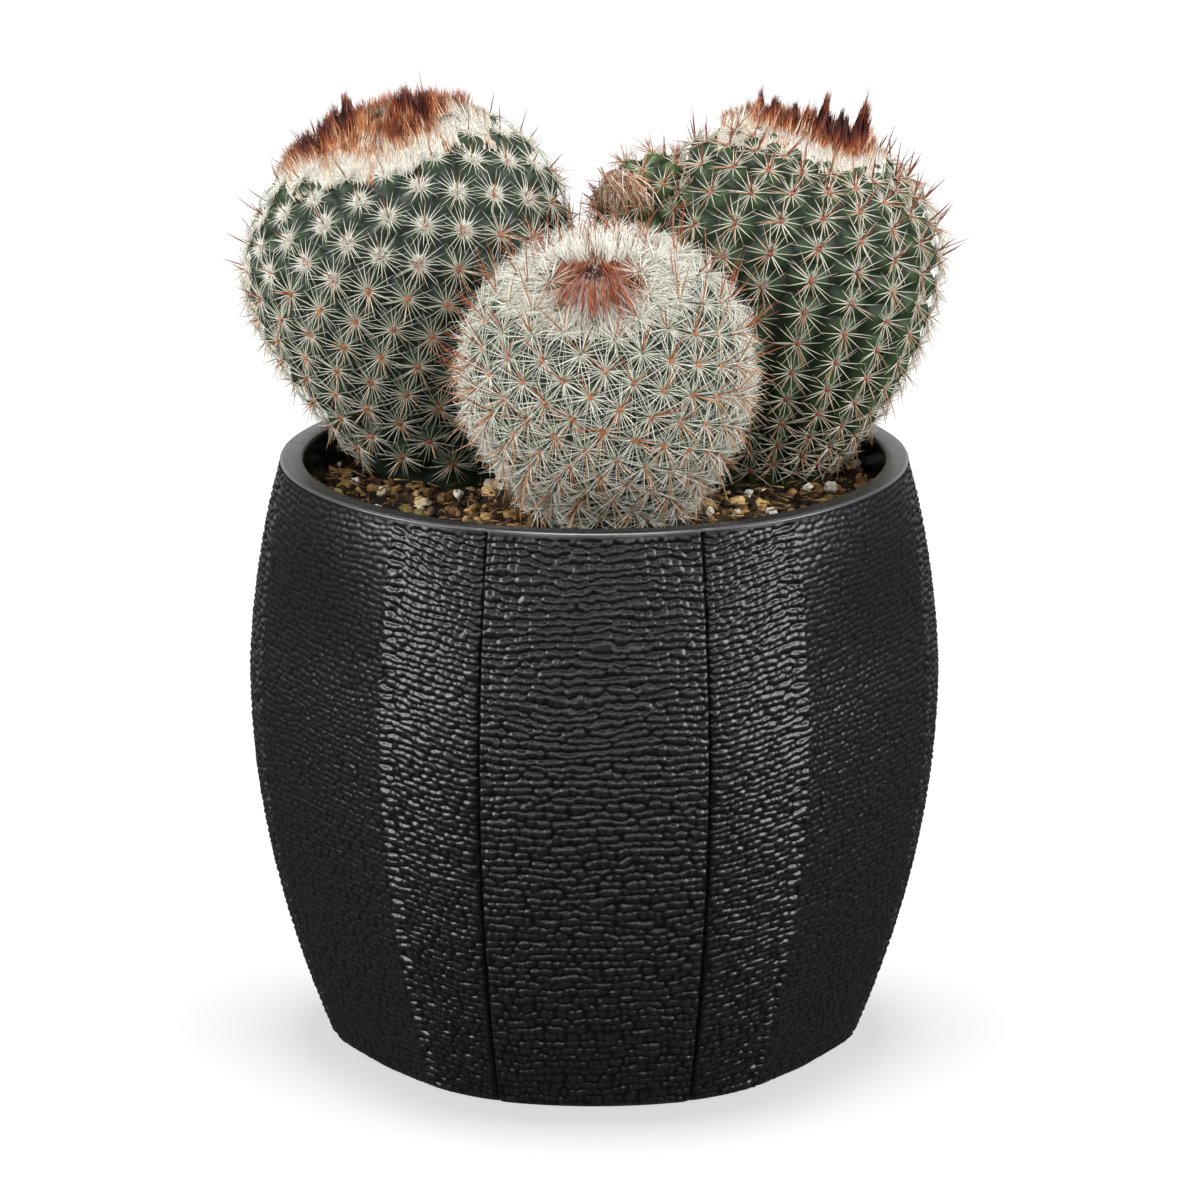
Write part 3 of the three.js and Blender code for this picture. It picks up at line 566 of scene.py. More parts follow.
def make_body(name, node, tones, cell=0.72):
    """The grown body with its tubercles, tinted with painted shade from dark valleys to lighter tips, and
    under the crown hair.
    """
    head = HEAD[name]
    shape = head.shape
    bottom, total = head.meridian["arc"][[0, -1]]
    rows = int(total / cell)
    columns = int(2 * math.pi * shape["radius"] / cell)
    arc = np.linspace(bottom, total, rows)[:, None] + np.zeros((1, columns))
    angle = np.arange(columns)[None, :] * 2 * math.pi / columns + np.zeros((rows, 1))
    point, normal, _ = head.surface("arc", arc, angle)
    relief = cell_relief(head, point)
    share = head.share_of("arc", arc)
    if "columns" in shape:
        ribbed = smoothstep(shape["ribbed_to"] + 0.06, shape["ribbed_to"] - 0.12, share)
        relief = mix(relief, rib_relief(head, angle) * (0.82 + 0.18 * relief), ribbed)
    above_soil = smoothstep(SOIL_LEVEL - 1, SOIL_LEVEL + 3, point[..., 2])
    lift = shape["height"] * (relief - 1 + TIP_RISE) * above_soil
    lift = lift + 0.12 * field(point, 2.2, 6) * above_soil
    reach = np.interp(arc, head.meridian["arc"], head.meridian["radius"])
    hairy = smoothstep(HAIRY_WITHIN[name] + 1, HAIRY_WITHIN[name] - 2, reach) * (share > shape["widest"])
    lift = mix(lift, -0.5, 0.9 * hairy * (HAIRY_WITHIN[name] > 0))
    surface = off_rim(point + normal * column(lift))
    # the first tone is painted shade for the valleys between tubercles and ribs, the second the skin at their
    # tips
    low, high, crown_tone = (np.array(tone) for tone in tones)
    tint = mix(low, high, column(smoothstep(0.05, 0.9, relief)))
    tint = tint * (1 + 0.22 * column(field(point, 9, 7)))
    tint = mix(tint, crown_tone, column(0.9 * smoothstep(0.5, 1, hairy)))
    points = np.concatenate([surface.reshape(-1, 3), [surface[0].mean(axis=0)], [surface[-1].mean(axis=0)]])
    tints = np.concatenate([tint.reshape(-1, 3), tint[0, :1], tint[-1, :1]])
    ring = np.arange(columns)
    following = np.roll(ring, -1)
    last = (rows - 1) * columns
    bottom_fan = np.stack([following, ring, np.full(columns, rows * columns)], axis=-1)
    top_fan = np.stack([last + ring, last + following, np.full(columns, rows * columns + 1)], axis=-1)
    add_piece(f"{name}_body", points, [grid_faces(rows, columns, True), bottom_fan, top_fan], SKIN,
              [node], tints)


# ---- spines ----

def clear_of_pot(root, tip):
    """Spines that don't run into the pot's wall or deep into the soil."""
    clear = np.ones(len(root), bool)
    for points in (mix(root, tip, 0.75), tip):
        over_wall = np.hypot(points[:, 0], points[:, 1]) > RIM_INNER - 0.3
        in_wall = over_wall & (points[:, 2] < POT["height"] + 0.3)
        clear &= ~in_wall & (points[:, 2] > SOIL_LEVEL + 0.3)
    return clear


class Spines:
    """Gathers curved, tapered spines and turns them into one piece."""

    def __init__(self):
        self.rows = []

    def add(self, root, way, bend, length, width, colours):
        """root, way and bend are (n, 3); bend is how far the tip is carried sideways, as a share of the
        length; colours is (n, stops, 3) from root to tip."""
        count = len(root)
        full = [np.broadcast_to(item, (count, 3)) for item in (root, way, bend)]
        sizes = [np.broadcast_to(np.asarray(item, float), count) for item in (length, width)]
        colours = np.broadcast_to(colours, (count,) + np.shape(colours)[-2:])
        self.rows.append((*full, *sizes, self.blend_stops(colours, np.linspace(0, 1, 6))))

    def build(self, name, material, rings=4, keep=clear_of_pot):
        parts = [np.concatenate(part) for part in zip(*self.rows)]
        root, way, bend, length = parts[:4]
        kept = keep(root, root + column(length) * (way + bend))
        root, way, bend, length, width, colours = (part[kept] for part in parts)
        count, sides = len(root), 3
        t = np.append(np.arange(rings) / rings, 1.0)
        run = way[:, None] * t[:, None] + bend[:, None] * t[:, None] ** 2
        centre = root[:, None] + column(length)[:, None] * run
        helper = np.where(np.abs(way[:, 2:]) > 0.9, [[1.0, 0, 0]], [[0, 0, 1.0]])
        side = unit(np.cross(way, helper))
        across = np.cross(way, side)
        turn = column(np.arange(sides) * 2 * math.pi / sides)
        spread = np.cos(turn) * side[:, None] + np.sin(turn) * across[:, None]
        taper = (1 - t[:-1] ** 1.6) * 0.92 + 0.08
        thick = (width[:, None] / 2 * taper)[..., None, None]
        ring_points = centre[:, :-1, None] + spread[:, None] * thick
        points = np.concatenate([ring_points.reshape(count, -1, 3), centre[:, -1:]], axis=1)
        shade = self.blend_stops(colours, t)
        ring_tints = np.repeat(shade[:, :-1, None], sides, axis=2).reshape(count, -1, 3)
        tints = np.concatenate([ring_tints, shade[:, -1:]], axis=1)
        add_piece(name, points.reshape(-1, 3), tube_faces(count, rings, sides), material,
                  tints=tints.reshape(-1, 3))

    @staticmethod
    def blend_stops(colours, t):
        spans = colours.shape[1] - 1
        at = np.minimum((t * spans).astype(int), spans - 1)
        share = (t * spans - at)[None, :, None]
        return mix(colours[:, at], colours[:, at + 1], share)


def areole_frames(name):
    """Place, outward normal, upward and sideways directions, and share of the axis of each areole."""
    head = HEAD[name]
    point, normal, upward = head.surface(*head.spots)
    place = off_rim(point + normal * (head.shape["height"] * TIP_RISE))
    return place, normal, upward, np.cross(upward, normal), head.share_of(*head.spots[:2])


def round_areole(frames, turn):
    """Directions along the surface at angles round each areole."""
    _, _, upward, sideways, _ = frames
    return column(np.cos(turn)) * sideways[:, None] + column(np.sin(turn)) * upward[:, None]


ALL_ROUND = (0, 2 * math.pi)


def fan(spines, frames, count, rng, tilt, lengths, width, bend, colours, turn=None, scale=None):
    """count spines from each areole, tilted up from its surface by angles: evenly all round it, or at random
    between two angles where turn gives them. scale is a share of the length for each areole."""
    place, normal = frames[:2]
    areoles = len(place)
    if turn is None:
        step = 2 * math.pi / count
        round_it = step * (np.arange(count)[None] + rng.uniform(-0.35, 0.35, (areoles, count)))
        round_it = round_it + rng.uniform(0, step, (areoles, 1))
    else:
        round_it = rng.uniform(*turn, (areoles, count))
    up_tilt = column(rng.uniform(*tilt, (areoles, count)))
    flat = round_areole(frames, round_it)
    way = unit(np.cos(up_tilt) * flat + np.sin(up_tilt) * normal[:, None])
    length = rng.uniform(*lengths, (areoles, count))
    if scale is not None:
        length = length * column(scale)
    curl = -normal[:, None] * rng.uniform(*bend, (areoles, count, 1))
    curl = curl + rng.normal(0, 0.045, (areoles, count, 3))
    root = place[:, None] + flat * 0.35
    tone = 1 + 0.12 * rng.uniform(-1, 1, (areoles * count, 1, 1))
    widths = width * rng.uniform(0.8, 1.15, areoles * count)
    spines.add(root.reshape(-1, 3), way.reshape(-1, 3), curl.reshape(-1, 3), length.ravel(), widths,
               np.asarray(colours) * tone)


WHITE = (0.74, 0.72, 0.61)
IVORY = (0.64, 0.61, 0.51)
COOL_WHITE = (0.60, 0.61, 0.51)
BRIGHT = (0.88, 0.86, 0.78)
CREAM = (0.70, 0.55, 0.37)
TAN = (0.55, 0.33, 0.17)
ORANGE = (0.50, 0.19, 0.06)
RUST = (0.33, 0.085, 0.03)
MAROON = (0.075, 0.012, 0.009)
BROWN = (0.45, 0.18, 0.08)


def pick(frames, mask):
    return tuple(part[mask] for part in frames)


def areole_dots(name, frames, size, colour, rng):
    """The small round base that an areole's spines grow from."""
    place, normal = frames[:2]
    count, sides = len(place), 7
    around = round_areole(frames, np.arange(sides) * 2 * math.pi / sides)
    rings = []
    for reach, lift in ((1.0, -0.25), (0.8, 0.28), (0.35, 0.5)):
        scale = size * reach * rng.uniform(0.85, 1.15, (count, sides, 1))
        rings.append(place[:, None] + around * scale + normal[:, None] * lift * size)
    points = np.concatenate([*rings, (place + normal * 0.58 * size)[:, None]], axis=1)
    tints = np.broadcast_to(np.asarray(colour) * rng.uniform(0.75, 1.2, (count, 1, 1)), points.shape)
    add_piece(f"{name}_areoles", points.reshape(-1, 3), tube_faces(count, len(rings), sides), SPINE,
              tints=tints.reshape(-1, 3))


def wool_hairs(spines, frames, count, rng, reach, length, colour=WHITE):
    """A cushion of short fine hairs over each areole."""
    place, normal = frames[:2]
    areoles = len(place)
    flat = round_areole(frames, rng.uniform(0, 2 * math.pi, (areoles, count)))
    away = reach * np.sqrt(rng.random((areoles, count)))
    root = place[:, None] + flat * column(away) - normal[:, None] * 0.3
    lean = normal[:, None] + flat * column(away / reach * 0.9)
    way = unit(lean + rng.normal(0, 0.3, (areoles, count, 3)))
    curl = rng.normal(0, 0.35, (areoles, count, 3))
    lengths = length * rng.uniform(0.6, 1.1, areoles * count)
    spines.add(root.reshape(-1, 3), way.reshape(-1, 3), curl.reshape(-1, 3), lengths, 0.17,
               np.array([colour, colour]) * rng.uniform(0.9, 1.05, (areoles * count, 1, 1)))


def leanings(points, seed):
    """The way that neighbouring hairs lean together."""
    return np.stack([field(points, 2.0, seed + k) for k in range(3)], axis=-1)


def crown_surface(head, out, angle):
    """Points, normals and upward directions at distances from the axis, above the widest place."""
    m = head.meridian
    over = m["share"] > head.shape["widest"]
    arc = np.interp(out, m["radius"][over][::-1], m["arc"][over][::-1])
    return head.surface("arc", arc, angle)


def crown_hair(name, spines, count, rng, out, length, lean, width, colours, clump=0.3, scatter=0.1, back=1.0,
               droop=0.0, hidden=False, bare=None):
    """Single hairs over a ring of the crown. lean is 0 along the axis, 1 along the surface's normal and
    further outwards above that; neighbours lean together by the share called clump. Hairs behind the apex
    keep the share of their length called back, droop bends the tips down the head's axis, and hidden keeps
    only the hairs whose roots face away from the front. bare tells which places, as seen from the front,
    stay without hair."""
    head = HEAD[name]
    reach = np.sqrt(rng.uniform(out[0] ** 2, out[1] ** 2, count))
    point, normal, upward = crown_surface(head, reach, rng.uniform(0, 2 * math.pi, count))
    axis = head.tangent[-1]
    way = mix(axis, normal, min(lean, 1)) - upward * max(lean - 1, 0)
    way = unit(way + clump * leanings(point, 11) + rng.normal(0, scatter, (count, 3)))
    share = (reach - out[0]) / (out[1] - out[0])
    lengths = mix(length[0], length[1], share) * rng.uniform(0.65, 1.1, count)
    lengths = lengths * (1 + 0.15 * field(point, 3, 14))
    lengths = lengths * (1 - (1 - back) * smoothstep(-3, 5, point[:, 1] - head.place[-1, 1]))
    stops = np.asarray(colours)
    if stops.ndim == 3:
        stops = stops[rng.integers(len(stops), size=count)]
    curl = rng.normal(0, 0.08, (count, 3)) - droop * axis
    widths = width * rng.uniform(0.75, 1.2, count)
    shades = stops * rng.uniform(0.85, 1.15, (count, 1, 1))
    kept = normal @ TO_CAMERA < 0.05 if hidden else np.ones(count, bool)
    if bare:
        kept &= ~(bare(sight(point)) & (normal @ TO_CAMERA > 0))
    spines.add((point - normal * 0.3)[kept], way[kept], curl[kept], lengths[kept], widths[kept], shades[kept])


SIGHT_RISE = math.tan(CAMERA["elevation"])
TO_CAMERA = np.array([0, -math.cos(CAMERA["elevation"]), math.sin(CAMERA["elevation"])])


def sight(points):
    """Where points are seen from the front: their x, and their height with the rise that depth adds."""
    return np.stack([points[..., 0], points[..., 2] + SIGHT_RISE * points[..., 1]], axis=-1)


class Scalp:
    """The side of a head that faces the camera, to place hairs by where they are seen."""

    def __init__(self, name, count=30000):
        head = HEAD[name]
        rng = np.random.default_rng(count)
        area = head.meridian["area"][-1] * rng.uniform(0.15, 1, count)
        point, normal, _ = head.surface("area", area, rng.uniform(0, 2 * math.pi, count))
        facing = normal @ TO_CAMERA > 0.02
        self.point, self.normal = point[facing], normal[facing]
        self.tree = search_tree([(x, height, 0) for x, height in sight(self.point)])

    def under(self, places):
        """The surface's points and normals where the places are seen, or else on its horizon."""
        nearest = np.array([self.tree.find((x, height, 0))[1] for x, height in places])
        return self.point[nearest], self.normal[nearest]


def comb(spines, scalp, roots, tips, rng, width, tones, lift=0.4, arch=0.08, curl=0.03, sunk=0.6):
    """Hairs from places to places as seen from the front. lift is how far the tips stand out towards the
    front, as a share of the length; arch bows the hairs away from the surface, curl sways their tips, and
    sunk is how deep they are rooted. tones is a list of colours from root to tip, of which a list of such
    lists is drawn from at random, or a function of the places along each hair."""
    count = len(roots)
    foot, normal = scalp.under(roots)
    ends, _ = scalp.under(tips)
    gap = tips - sight(ends)
    ends[:, 0] += gap[:, 0]
    ends[:, 2] += gap[:, 1]
    foot = foot - normal * sunk
    ends = ends + TO_CAMERA * lift * np.linalg.norm(tips - roots, axis=1)[:, None]
    length = np.linalg.norm(ends - foot, axis=1)
    way = unit(ends - foot)
    bow = arch * rng.uniform(0.2, 1.8, (count, 1)) * normal
    if callable(tones):
        along = np.linspace(0, 1, 6)[None, :, None]
        tones = tones(mix(sight(foot)[:, None], tips[:, None], along))
    tones = np.asarray(tones)
    if tones.ndim == 3 and len(tones) != count:
        tones = tones[rng.integers(len(tones), size=count)]
    spines.add(foot, way + bow, rng.normal(0, curl, (count, 3)) - bow, length,
               width * rng.uniform(0.75, 1.2, count), tones * rng.uniform(0.86, 1.14, (count, 1, 1)))


# hair colours from white feet over cream, tan, orange and rust to nearly black tips
HAIR_TONES = np.array([(0.84, 0.80, 0.72), (0.76, 0.64, 0.49), (0.66, 0.40, 0.22), (0.56, 0.21, 0.075),
                       (0.36, 0.095, 0.035), (0.15, 0.026, 0.016), (0.055, 0.010, 0.008)])
HAIR_STOPS = (0, 0.15, 0.3, 0.45, 0.6, 0.8, 1.0)


def hair_tones(warmth):
    return np.stack([np.interp(warmth, HAIR_STOPS, HAIR_TONES[:, k]) for k in range(3)], axis=-1)


def line(plan, key, at):
    """The value of a plan's line at an x or a share."""
    return np.interp(at, *np.array(plan[key], float).T)


def plan_warmth(plan, places):
    """0 for white hair to 1 for nearly black, at places as seen from the front."""
    x, height = places[..., 0], places[..., 1]
    top, foot = line(plan, "top", x), line(plan, "foot", x)
    warmth = line(plan, "warmth", np.clip((height - foot) / np.maximum(top - foot, 1), 0, 1))
    for at_x, at_height, across, up, amount in plan["patches"]:
        warmth = warmth + amount * np.exp(-((x - at_x) / across) ** 2 - ((height - at_height) / up) ** 2)
    return warmth


def in_tuft(plan, places):
    """Whether places, as seen from the front, lie under a plan's hair."""
    x, height = places[:, 0], places[:, 1]
    between = (x > plan["foot"][0][0]) & (x < plan["foot"][-1][0])
    return between & (height > line(plan, "foot", x) + 1.5)


def covered(frames, inside):
    """Areoles that the hair covers: inside its outline as seen from the front, and not far behind it."""
    return inside(sight(frames[0])) & (frames[1] @ TO_CAMERA > -0.28)


def back_of_tuft(name, spines, plan, count, rng, length, width):
    """Hairs that carry a plan's hair on down the back of the crown: warm at its crest, then paler."""
    head = HEAD[name]
    area = head.meridian["area"][-1] * rng.uniform(0.3, 1, count)
    point, normal, _ = head.surface("area", area, rng.uniform(0, 2 * math.pi, count))
    facing = normal @ TO_CAMERA
    far_behind = -0.4
    kept = in_tuft(plan, sight(point)) & (facing < 0.08) & (facing > far_behind)
    point, normal, facing = point[kept], normal[kept], facing[kept]
    count = len(point)
    lean = normal + (0, 0, 0.5) + 0.35 * leanings(point, 31)
    way = unit(lean + rng.normal(0, 0.12, (count, 3)))
    behind = smoothstep(0.05, far_behind, facing)
    warmth = mix(0.62, 0.0, behind) + 0.2 * field(point, 3, 34) + rng.normal(0, 0.1, count)
    tones = hair_tones(np.clip(warmth[:, None] * np.array([0.1, 0.35, 0.75, 1.0, 1.1, 1.2]), 0, 1))
    lengths = mix(length[0], length[1], behind) * rng.uniform(0.65, 1.1, count)
    spines.add(point - normal * 0.4, way, rng.normal(0, 0.09, (count, 3)), lengths,
               width * rng.uniform(0.75, 1.2, count), tones)


def tuft(spines, scalp, plan, rng):
    """Locks of hair whose tips fill the space between a plan's foot and top lines."""
    locks, hairs = plan["locks"]
    x = rng.uniform(plan["top"][0][0], plan["top"][-1][0], locks)
    low, high = line(plan, "foot", x), line(plan, "top", x)
    height = mix(low, high + 1.2, 1 - plan["depth"] * rng.random(locks) ** 1.5)
    length = rng.uniform(*plan["length"], locks) * (0.7 + 0.3 * (height - low) / np.maximum(high - low, 1))
    tips = np.stack([x, height], axis=-1)
    roots = tips + np.stack([line(plan, "lean", x) * length, -length], axis=-1)
    tone = rng.normal(-0.02, 0.15, locks)
    tips, roots, tone = (np.repeat(part, hairs, axis=0) for part in (tips, roots, tone))
    count = len(tips)
    tips = tips + rng.normal(0, plan["point"], (count, 2))
    tips[:, 1] -= plan["ragged"] * rng.random(count) ** 2
    roots = roots + rng.normal(0, 1, (count, 2)) * [plan["spread"], 0.5]
    tone = tone + rng.normal(0, 0.11, count)
    comb(spines, scalp, roots, tips, rng, 0.3,
         lambda places: hair_tones(np.clip(plan_warmth(plan, places) + tone[:, None], 0, 1)))


def skirt(spines, scalp, plan, rng):
    """Fine hairs that stand along the lower border of a tuft."""
    count = plan["skirt_count"]
    x = rng.uniform(plan["foot"][0][0], plan["foot"][-1][0], count)
    low, high = line(plan, "foot", x), line(plan, "top", x)
    up = rng.random(count)
    roots = np.stack([x, low - 1.6 + up * plan["skirt"] * (high - low)], axis=-1)
    way = np.stack([rng.normal(0, 0.3, count), rng.uniform(0.7, 1.1, count)], axis=-1)
    tips = roots + way * column(rng.uniform(*plan["skirt_length"], count))
    comb(spines, scalp, roots, tips, rng, 0.17, plan["skirt_tones"], lift=0.5, arch=0.2, curl=0.08)


def spread(rng, count, x, height):
    """Places, or steps between places, drawn evenly from a range of x and one of height."""
    return np.stack([rng.uniform(*x, count), rng.uniform(*height, count)], axis=-1)


def strands(spines, scalp, paths, rng, width, tones, copies, scatter=0.25, arch=0.05):
    """A few long hairs along each path, given as its root's and its tip's places."""
    paths = np.repeat(np.array(paths, float), copies, axis=0)
    paths = paths + rng.normal(0, scatter, paths.shape)
    comb(spines, scalp, paths[:, :2], paths[:, 2:], rng, width, tones, lift=0.45, arch=arch)


def dress_crown(name, plan, rng):
    """The white hair round a crown, and the coloured tuft within it."""
    scalp = Scalp(name)
    fluff = Spines()
    skirt(fluff, scalp, plan, rng)
    crown_hair(name, fluff, rng=rng, width=0.17, colours=[(WHITE, WHITE, CREAM)], hidden=True, **plan["ring"])
    fluff.build(f"{name}_fluff", WOOL, rings=3)
    crown = Spines()
    tuft(crown, scalp, plan, rng)
    back_of_tuft(name, crown, plan, 46000, rng, plan["back_length"], 0.27)
    crown_hair(name, crown, rng=rng, width=0.28, clump=0.35, hidden=True, **plan["middle"])
    strands(crown, scalp, plan["spikes"], rng, tones=[RUST, RUST, MAROON], **plan["spike_look"])
    crown.build(f"{name}_crown", SPINE)


# ---- the left head ----

# places as seen from the front: x and height
LEFT_PLAN = dict(
    top=[(-65, 183.9), (-62.6, 187.4), (-60.6, 189.8), (-58.6, 193.0), (-56.5, 193.6), (-54.2, 195.6),
         (-53.2, 197.6), (-51.4, 199.0), (-49.5, 198.4), (-48.9, 196.6), (-47.5, 196.4), (-46.4, 195.2),
         (-43.7, 195.4), (-42.6, 196.4), (-41.4, 197.6), (-40.2, 199.0), (-39.6, 201.0), (-38.2, 200.2),
         (-37.0, 199.4), (-35.2, 199.8), (-32.8, 199.4), (-30.4, 198.4), (-28.2, 197.2), (-25.6, 196.4),
         (-22.6, 195.2)],
    foot=[(-65, 182.2), (-60, 181.6), (-56, 180.9), (-48.5, 180.9), (-43, 181.6), (-37.9, 183.0),
          (-33.5, 186.0), (-31, 189.8), (-28.3, 194.2), (-22.6, 193.6)],
    warmth=[(0, 0), (0.15, 0.08), (0.3, 0.3), (0.45, 0.45), (0.7, 0.58), (1, 0.64)],
    patches=[(-51.2, 196.0, 2.6, 3.4, 0.5), (-55.6, 193.0, 2.0, 1.7, 0.4), (-58.6, 189.2, 2.6, 3.0, 0.55),
             (-37.6, 198.2, 3.0, 2.6, 0.5), (-34.6, 195.2, 2.3, 2.2, 0.45), (-41.6, 191.6, 3.6, 1.7, 0.35),
             (-45.4, 193.6, 2.0, 3.2, -0.24), (-25.5, 196.0, 5.0, 6.0, -0.55),
             (-64.5, 184.5, 2.5, 3.0, -0.2)],
    lean=[(-65, 0.5), (-57, 0.22), (-50, -0.08), (-46, -0.1), (-40, 0.2), (-30, 0.32), (-22, 0.3)],
    locks=(330, 18), depth=0.75, length=(5, 7.5), point=0.3, ragged=1.6, spread=0.8,
    skirt=0.3, skirt_count=3600, skirt_length=(2.0, 3.4),
    skirt_tones=[[(0.84, 0.81, 0.74)] * 2, [(0.86, 0.84, 0.79)] * 2,
                 [(0.82, 0.78, 0.70), (0.74, 0.62, 0.47)]],
    ring=dict(count=3400, out=(13.0, 19.0), length=(3.2, 2.6), lean=0.75, clump=0.25),
    middle=dict(count=1900, out=(0.0, 13.0), length=(6.5, 4.0), lean=0.4,
                colours=[(CREAM, ORANGE, RUST), (TAN, RUST, MAROON), (CREAM, TAN, ORANGE)]),
    back_length=(4.8, 4.4),
    spikes=[(-34.5, 196.3, -35.9, 204.6), (-34.9, 195.8, -36.6, 201.8), (-32.0, 194.8, -33.6, 200.9),
            (-29.9, 195.3, -31.2, 200.7), (-31.6, 194.8, -32.8, 199.8), (-60.0, 188.4, -61.9, 192.6),
            (-62.0, 184.4, -64.1, 188.4), (-61.2, 184.9, -62.7, 188.9), (-57.9, 190.4, -58.6, 194.9)],
    spike_look=dict(width=0.3, copies=2))


def make_left():
    rng = np.random.default_rng(11)
    # tones: the valleys' painted shade, the tubercles' tips, the skin under the crown hair
    make_body("left", "cactus_left", [(0.008, 0.018, 0.010), (0.034, 0.062, 0.028), (0.30, 0.24, 0.16)])
    frames = areole_frames("left")
    share = frames[4]
    shown = (share < 0.98) & ~covered(frames, lambda places: in_tuft(LEFT_PLAN, places))
    open_part = pick(frames, shown)
    spines = Spines()
    scale = np.interp(open_part[4], [0.0, 0.25, 0.8, 0.9, 0.975], [0.9, 1.0, 1.0, 0.8, 0.65])
    fan(spines, open_part, 23, rng, (0.06, 0.36), (5.3, 6.6), 0.25, (0.02, 0.16),
        [IVORY, IVORY, COOL_WHITE], scale=scale)
    low = pick(frames, share < 0.8)
    fan(spines, low, 2, rng, (0.45, 1.0), (4.2, 6.4), 0.26, (0.0, 0.2), [ORANGE, CREAM, TAN], (-2.6, -0.5))
    fan(spines, low, 2, rng, (0.9, 1.4), (2.2, 4.0), 0.28, (-0.1, 0.1), [ORANGE, BROWN, RUST], ALL_ROUND)
    high = pick(frames, (share > 0.72) & shown)
    fan(spines, high, 1, rng, (0.9, 1.4), (4.0, 6.5), 0.36, (-0.1, 0.05), [RUST, RUST, MAROON], (0.6, 2.5))
    spines.build("left_spines", SPINE)
    areole_dots("left", pick(frames, share < 0.86), 0.8, (0.34, 0.13, 0.05), rng)
    wool = Spines()
    wool_hairs(wool, pick(frames, (share > 0.76) & shown), 150, rng, 1.3, 1.7, BRIGHT)
    wool_hairs(wool, pick(frames, (share <= 0.76) & (share > 0.6)), 40, rng, 1.0, 0.9)
    wool_hairs(wool, pick(frames, share <= 0.6), 10, rng, 0.8, 0.8)
    wool.build("left_wool", WOOL, rings=2)
    dress_crown("left", LEFT_PLAN, rng)


# ---- the right head and its offset ----

RIGHT_PLAN = dict(
    top=[(26.6, 194.2), (29, 195.6), (30.8, 196.2), (31.6, 197.4), (32.4, 195.4), (33.7, 197.6),
         (34.6, 200.5), (35.2, 196.2), (36, 195.6), (36.9, 198.9), (38.2, 197.2), (38.9, 194.8),
         (39.5, 197.2), (40.3, 194.4), (41.4, 198.0), (42.3, 194.4), (43.1, 194.2), (43.9, 197.2),
         (44.5, 194.8), (45.3, 196.8), (46, 194.6), (47.1, 197.5), (48.1, 199.7), (48.7, 196.0),
         (49.5, 194.2), (50.4, 194.4), (51.4, 196.4), (52.3, 194.4), (53, 191.4), (54, 193.0),
         (55.3, 197.9), (55.8, 195.2), (56.3, 200.4), (56.7, 194.4), (57.2, 188.6), (59.5, 187)],
    foot=[(25.6, 190.4), (30, 190.4), (33.2, 190.8), (37.3, 189.9), (42, 188.3), (46.2, 185.6),
          (50.4, 183.5), (55.6, 184.6), (57.5, 186), (59.5, 186)],
    warmth=[(0, 0.05), (0.1, 0.2), (0.25, 0.45), (0.5, 0.6), (1, 0.72)],
    patches=[(34.1, 197.0, 1.0, 3.0, 0.25), (37.3, 196.4, 1.3, 2.8, 0.4), (41.3, 195.6, 1.1, 2.6, 0.4),
             (43.6, 194.0, 0.9, 2.4, 0.25), (46.9, 194.6, 2.2, 4.4, 0.42), (51.3, 192.6, 2.0, 3.8, 0.5),
             (55.1, 192.4, 1.2, 4.2, 0.4), (29.2, 193.5, 3.4, 5.0, -0.62), (58.5, 187, 1.6, 3.0, -0.4)],
    lean=[(26, -0.25), (48, -0.24), (52, -0.05), (57, -0.16)],
    locks=(290, 14), depth=0.8, length=(4.5, 6.5), point=0.16, ragged=1.8, spread=0.55,
    skirt=0.18, skirt_count=2000, skirt_length=(1.6, 2.6),
    skirt_tones=[[(0.84, 0.80, 0.74)] * 2, [(0.86, 0.84, 0.79)] * 2, [(0.80, 0.66, 0.58), (0.84, 0.76, 0.70)],
                 [(0.78, 0.58, 0.48), (0.80, 0.66, 0.56)]],
    ring=dict(count=2400, out=(9.0, 15.0), length=(3.0, 2.6), lean=0.7, clump=0.22),
    middle=dict(count=1100, out=(0.0, 10.0), length=(5.5, 3.5), lean=0.35,
                colours=[(CREAM, RUST, RUST), (CREAM, RUST, MAROON)]),
    back_length=(4.4, 4.0),
    spikes=[(33.0, 194.0, 34.7, 201.2), (46.6, 192.5, 48.2, 200.4), (55.4, 191.0, 56.4, 201.2),
            (54.6, 190.0, 55.4, 198.6), (31.0, 192.5, 31.8, 198.0), (57.6, 187.0, 60.4, 191.2)],
    spike_look=dict(width=0.32, copies=3, scatter=0.18))


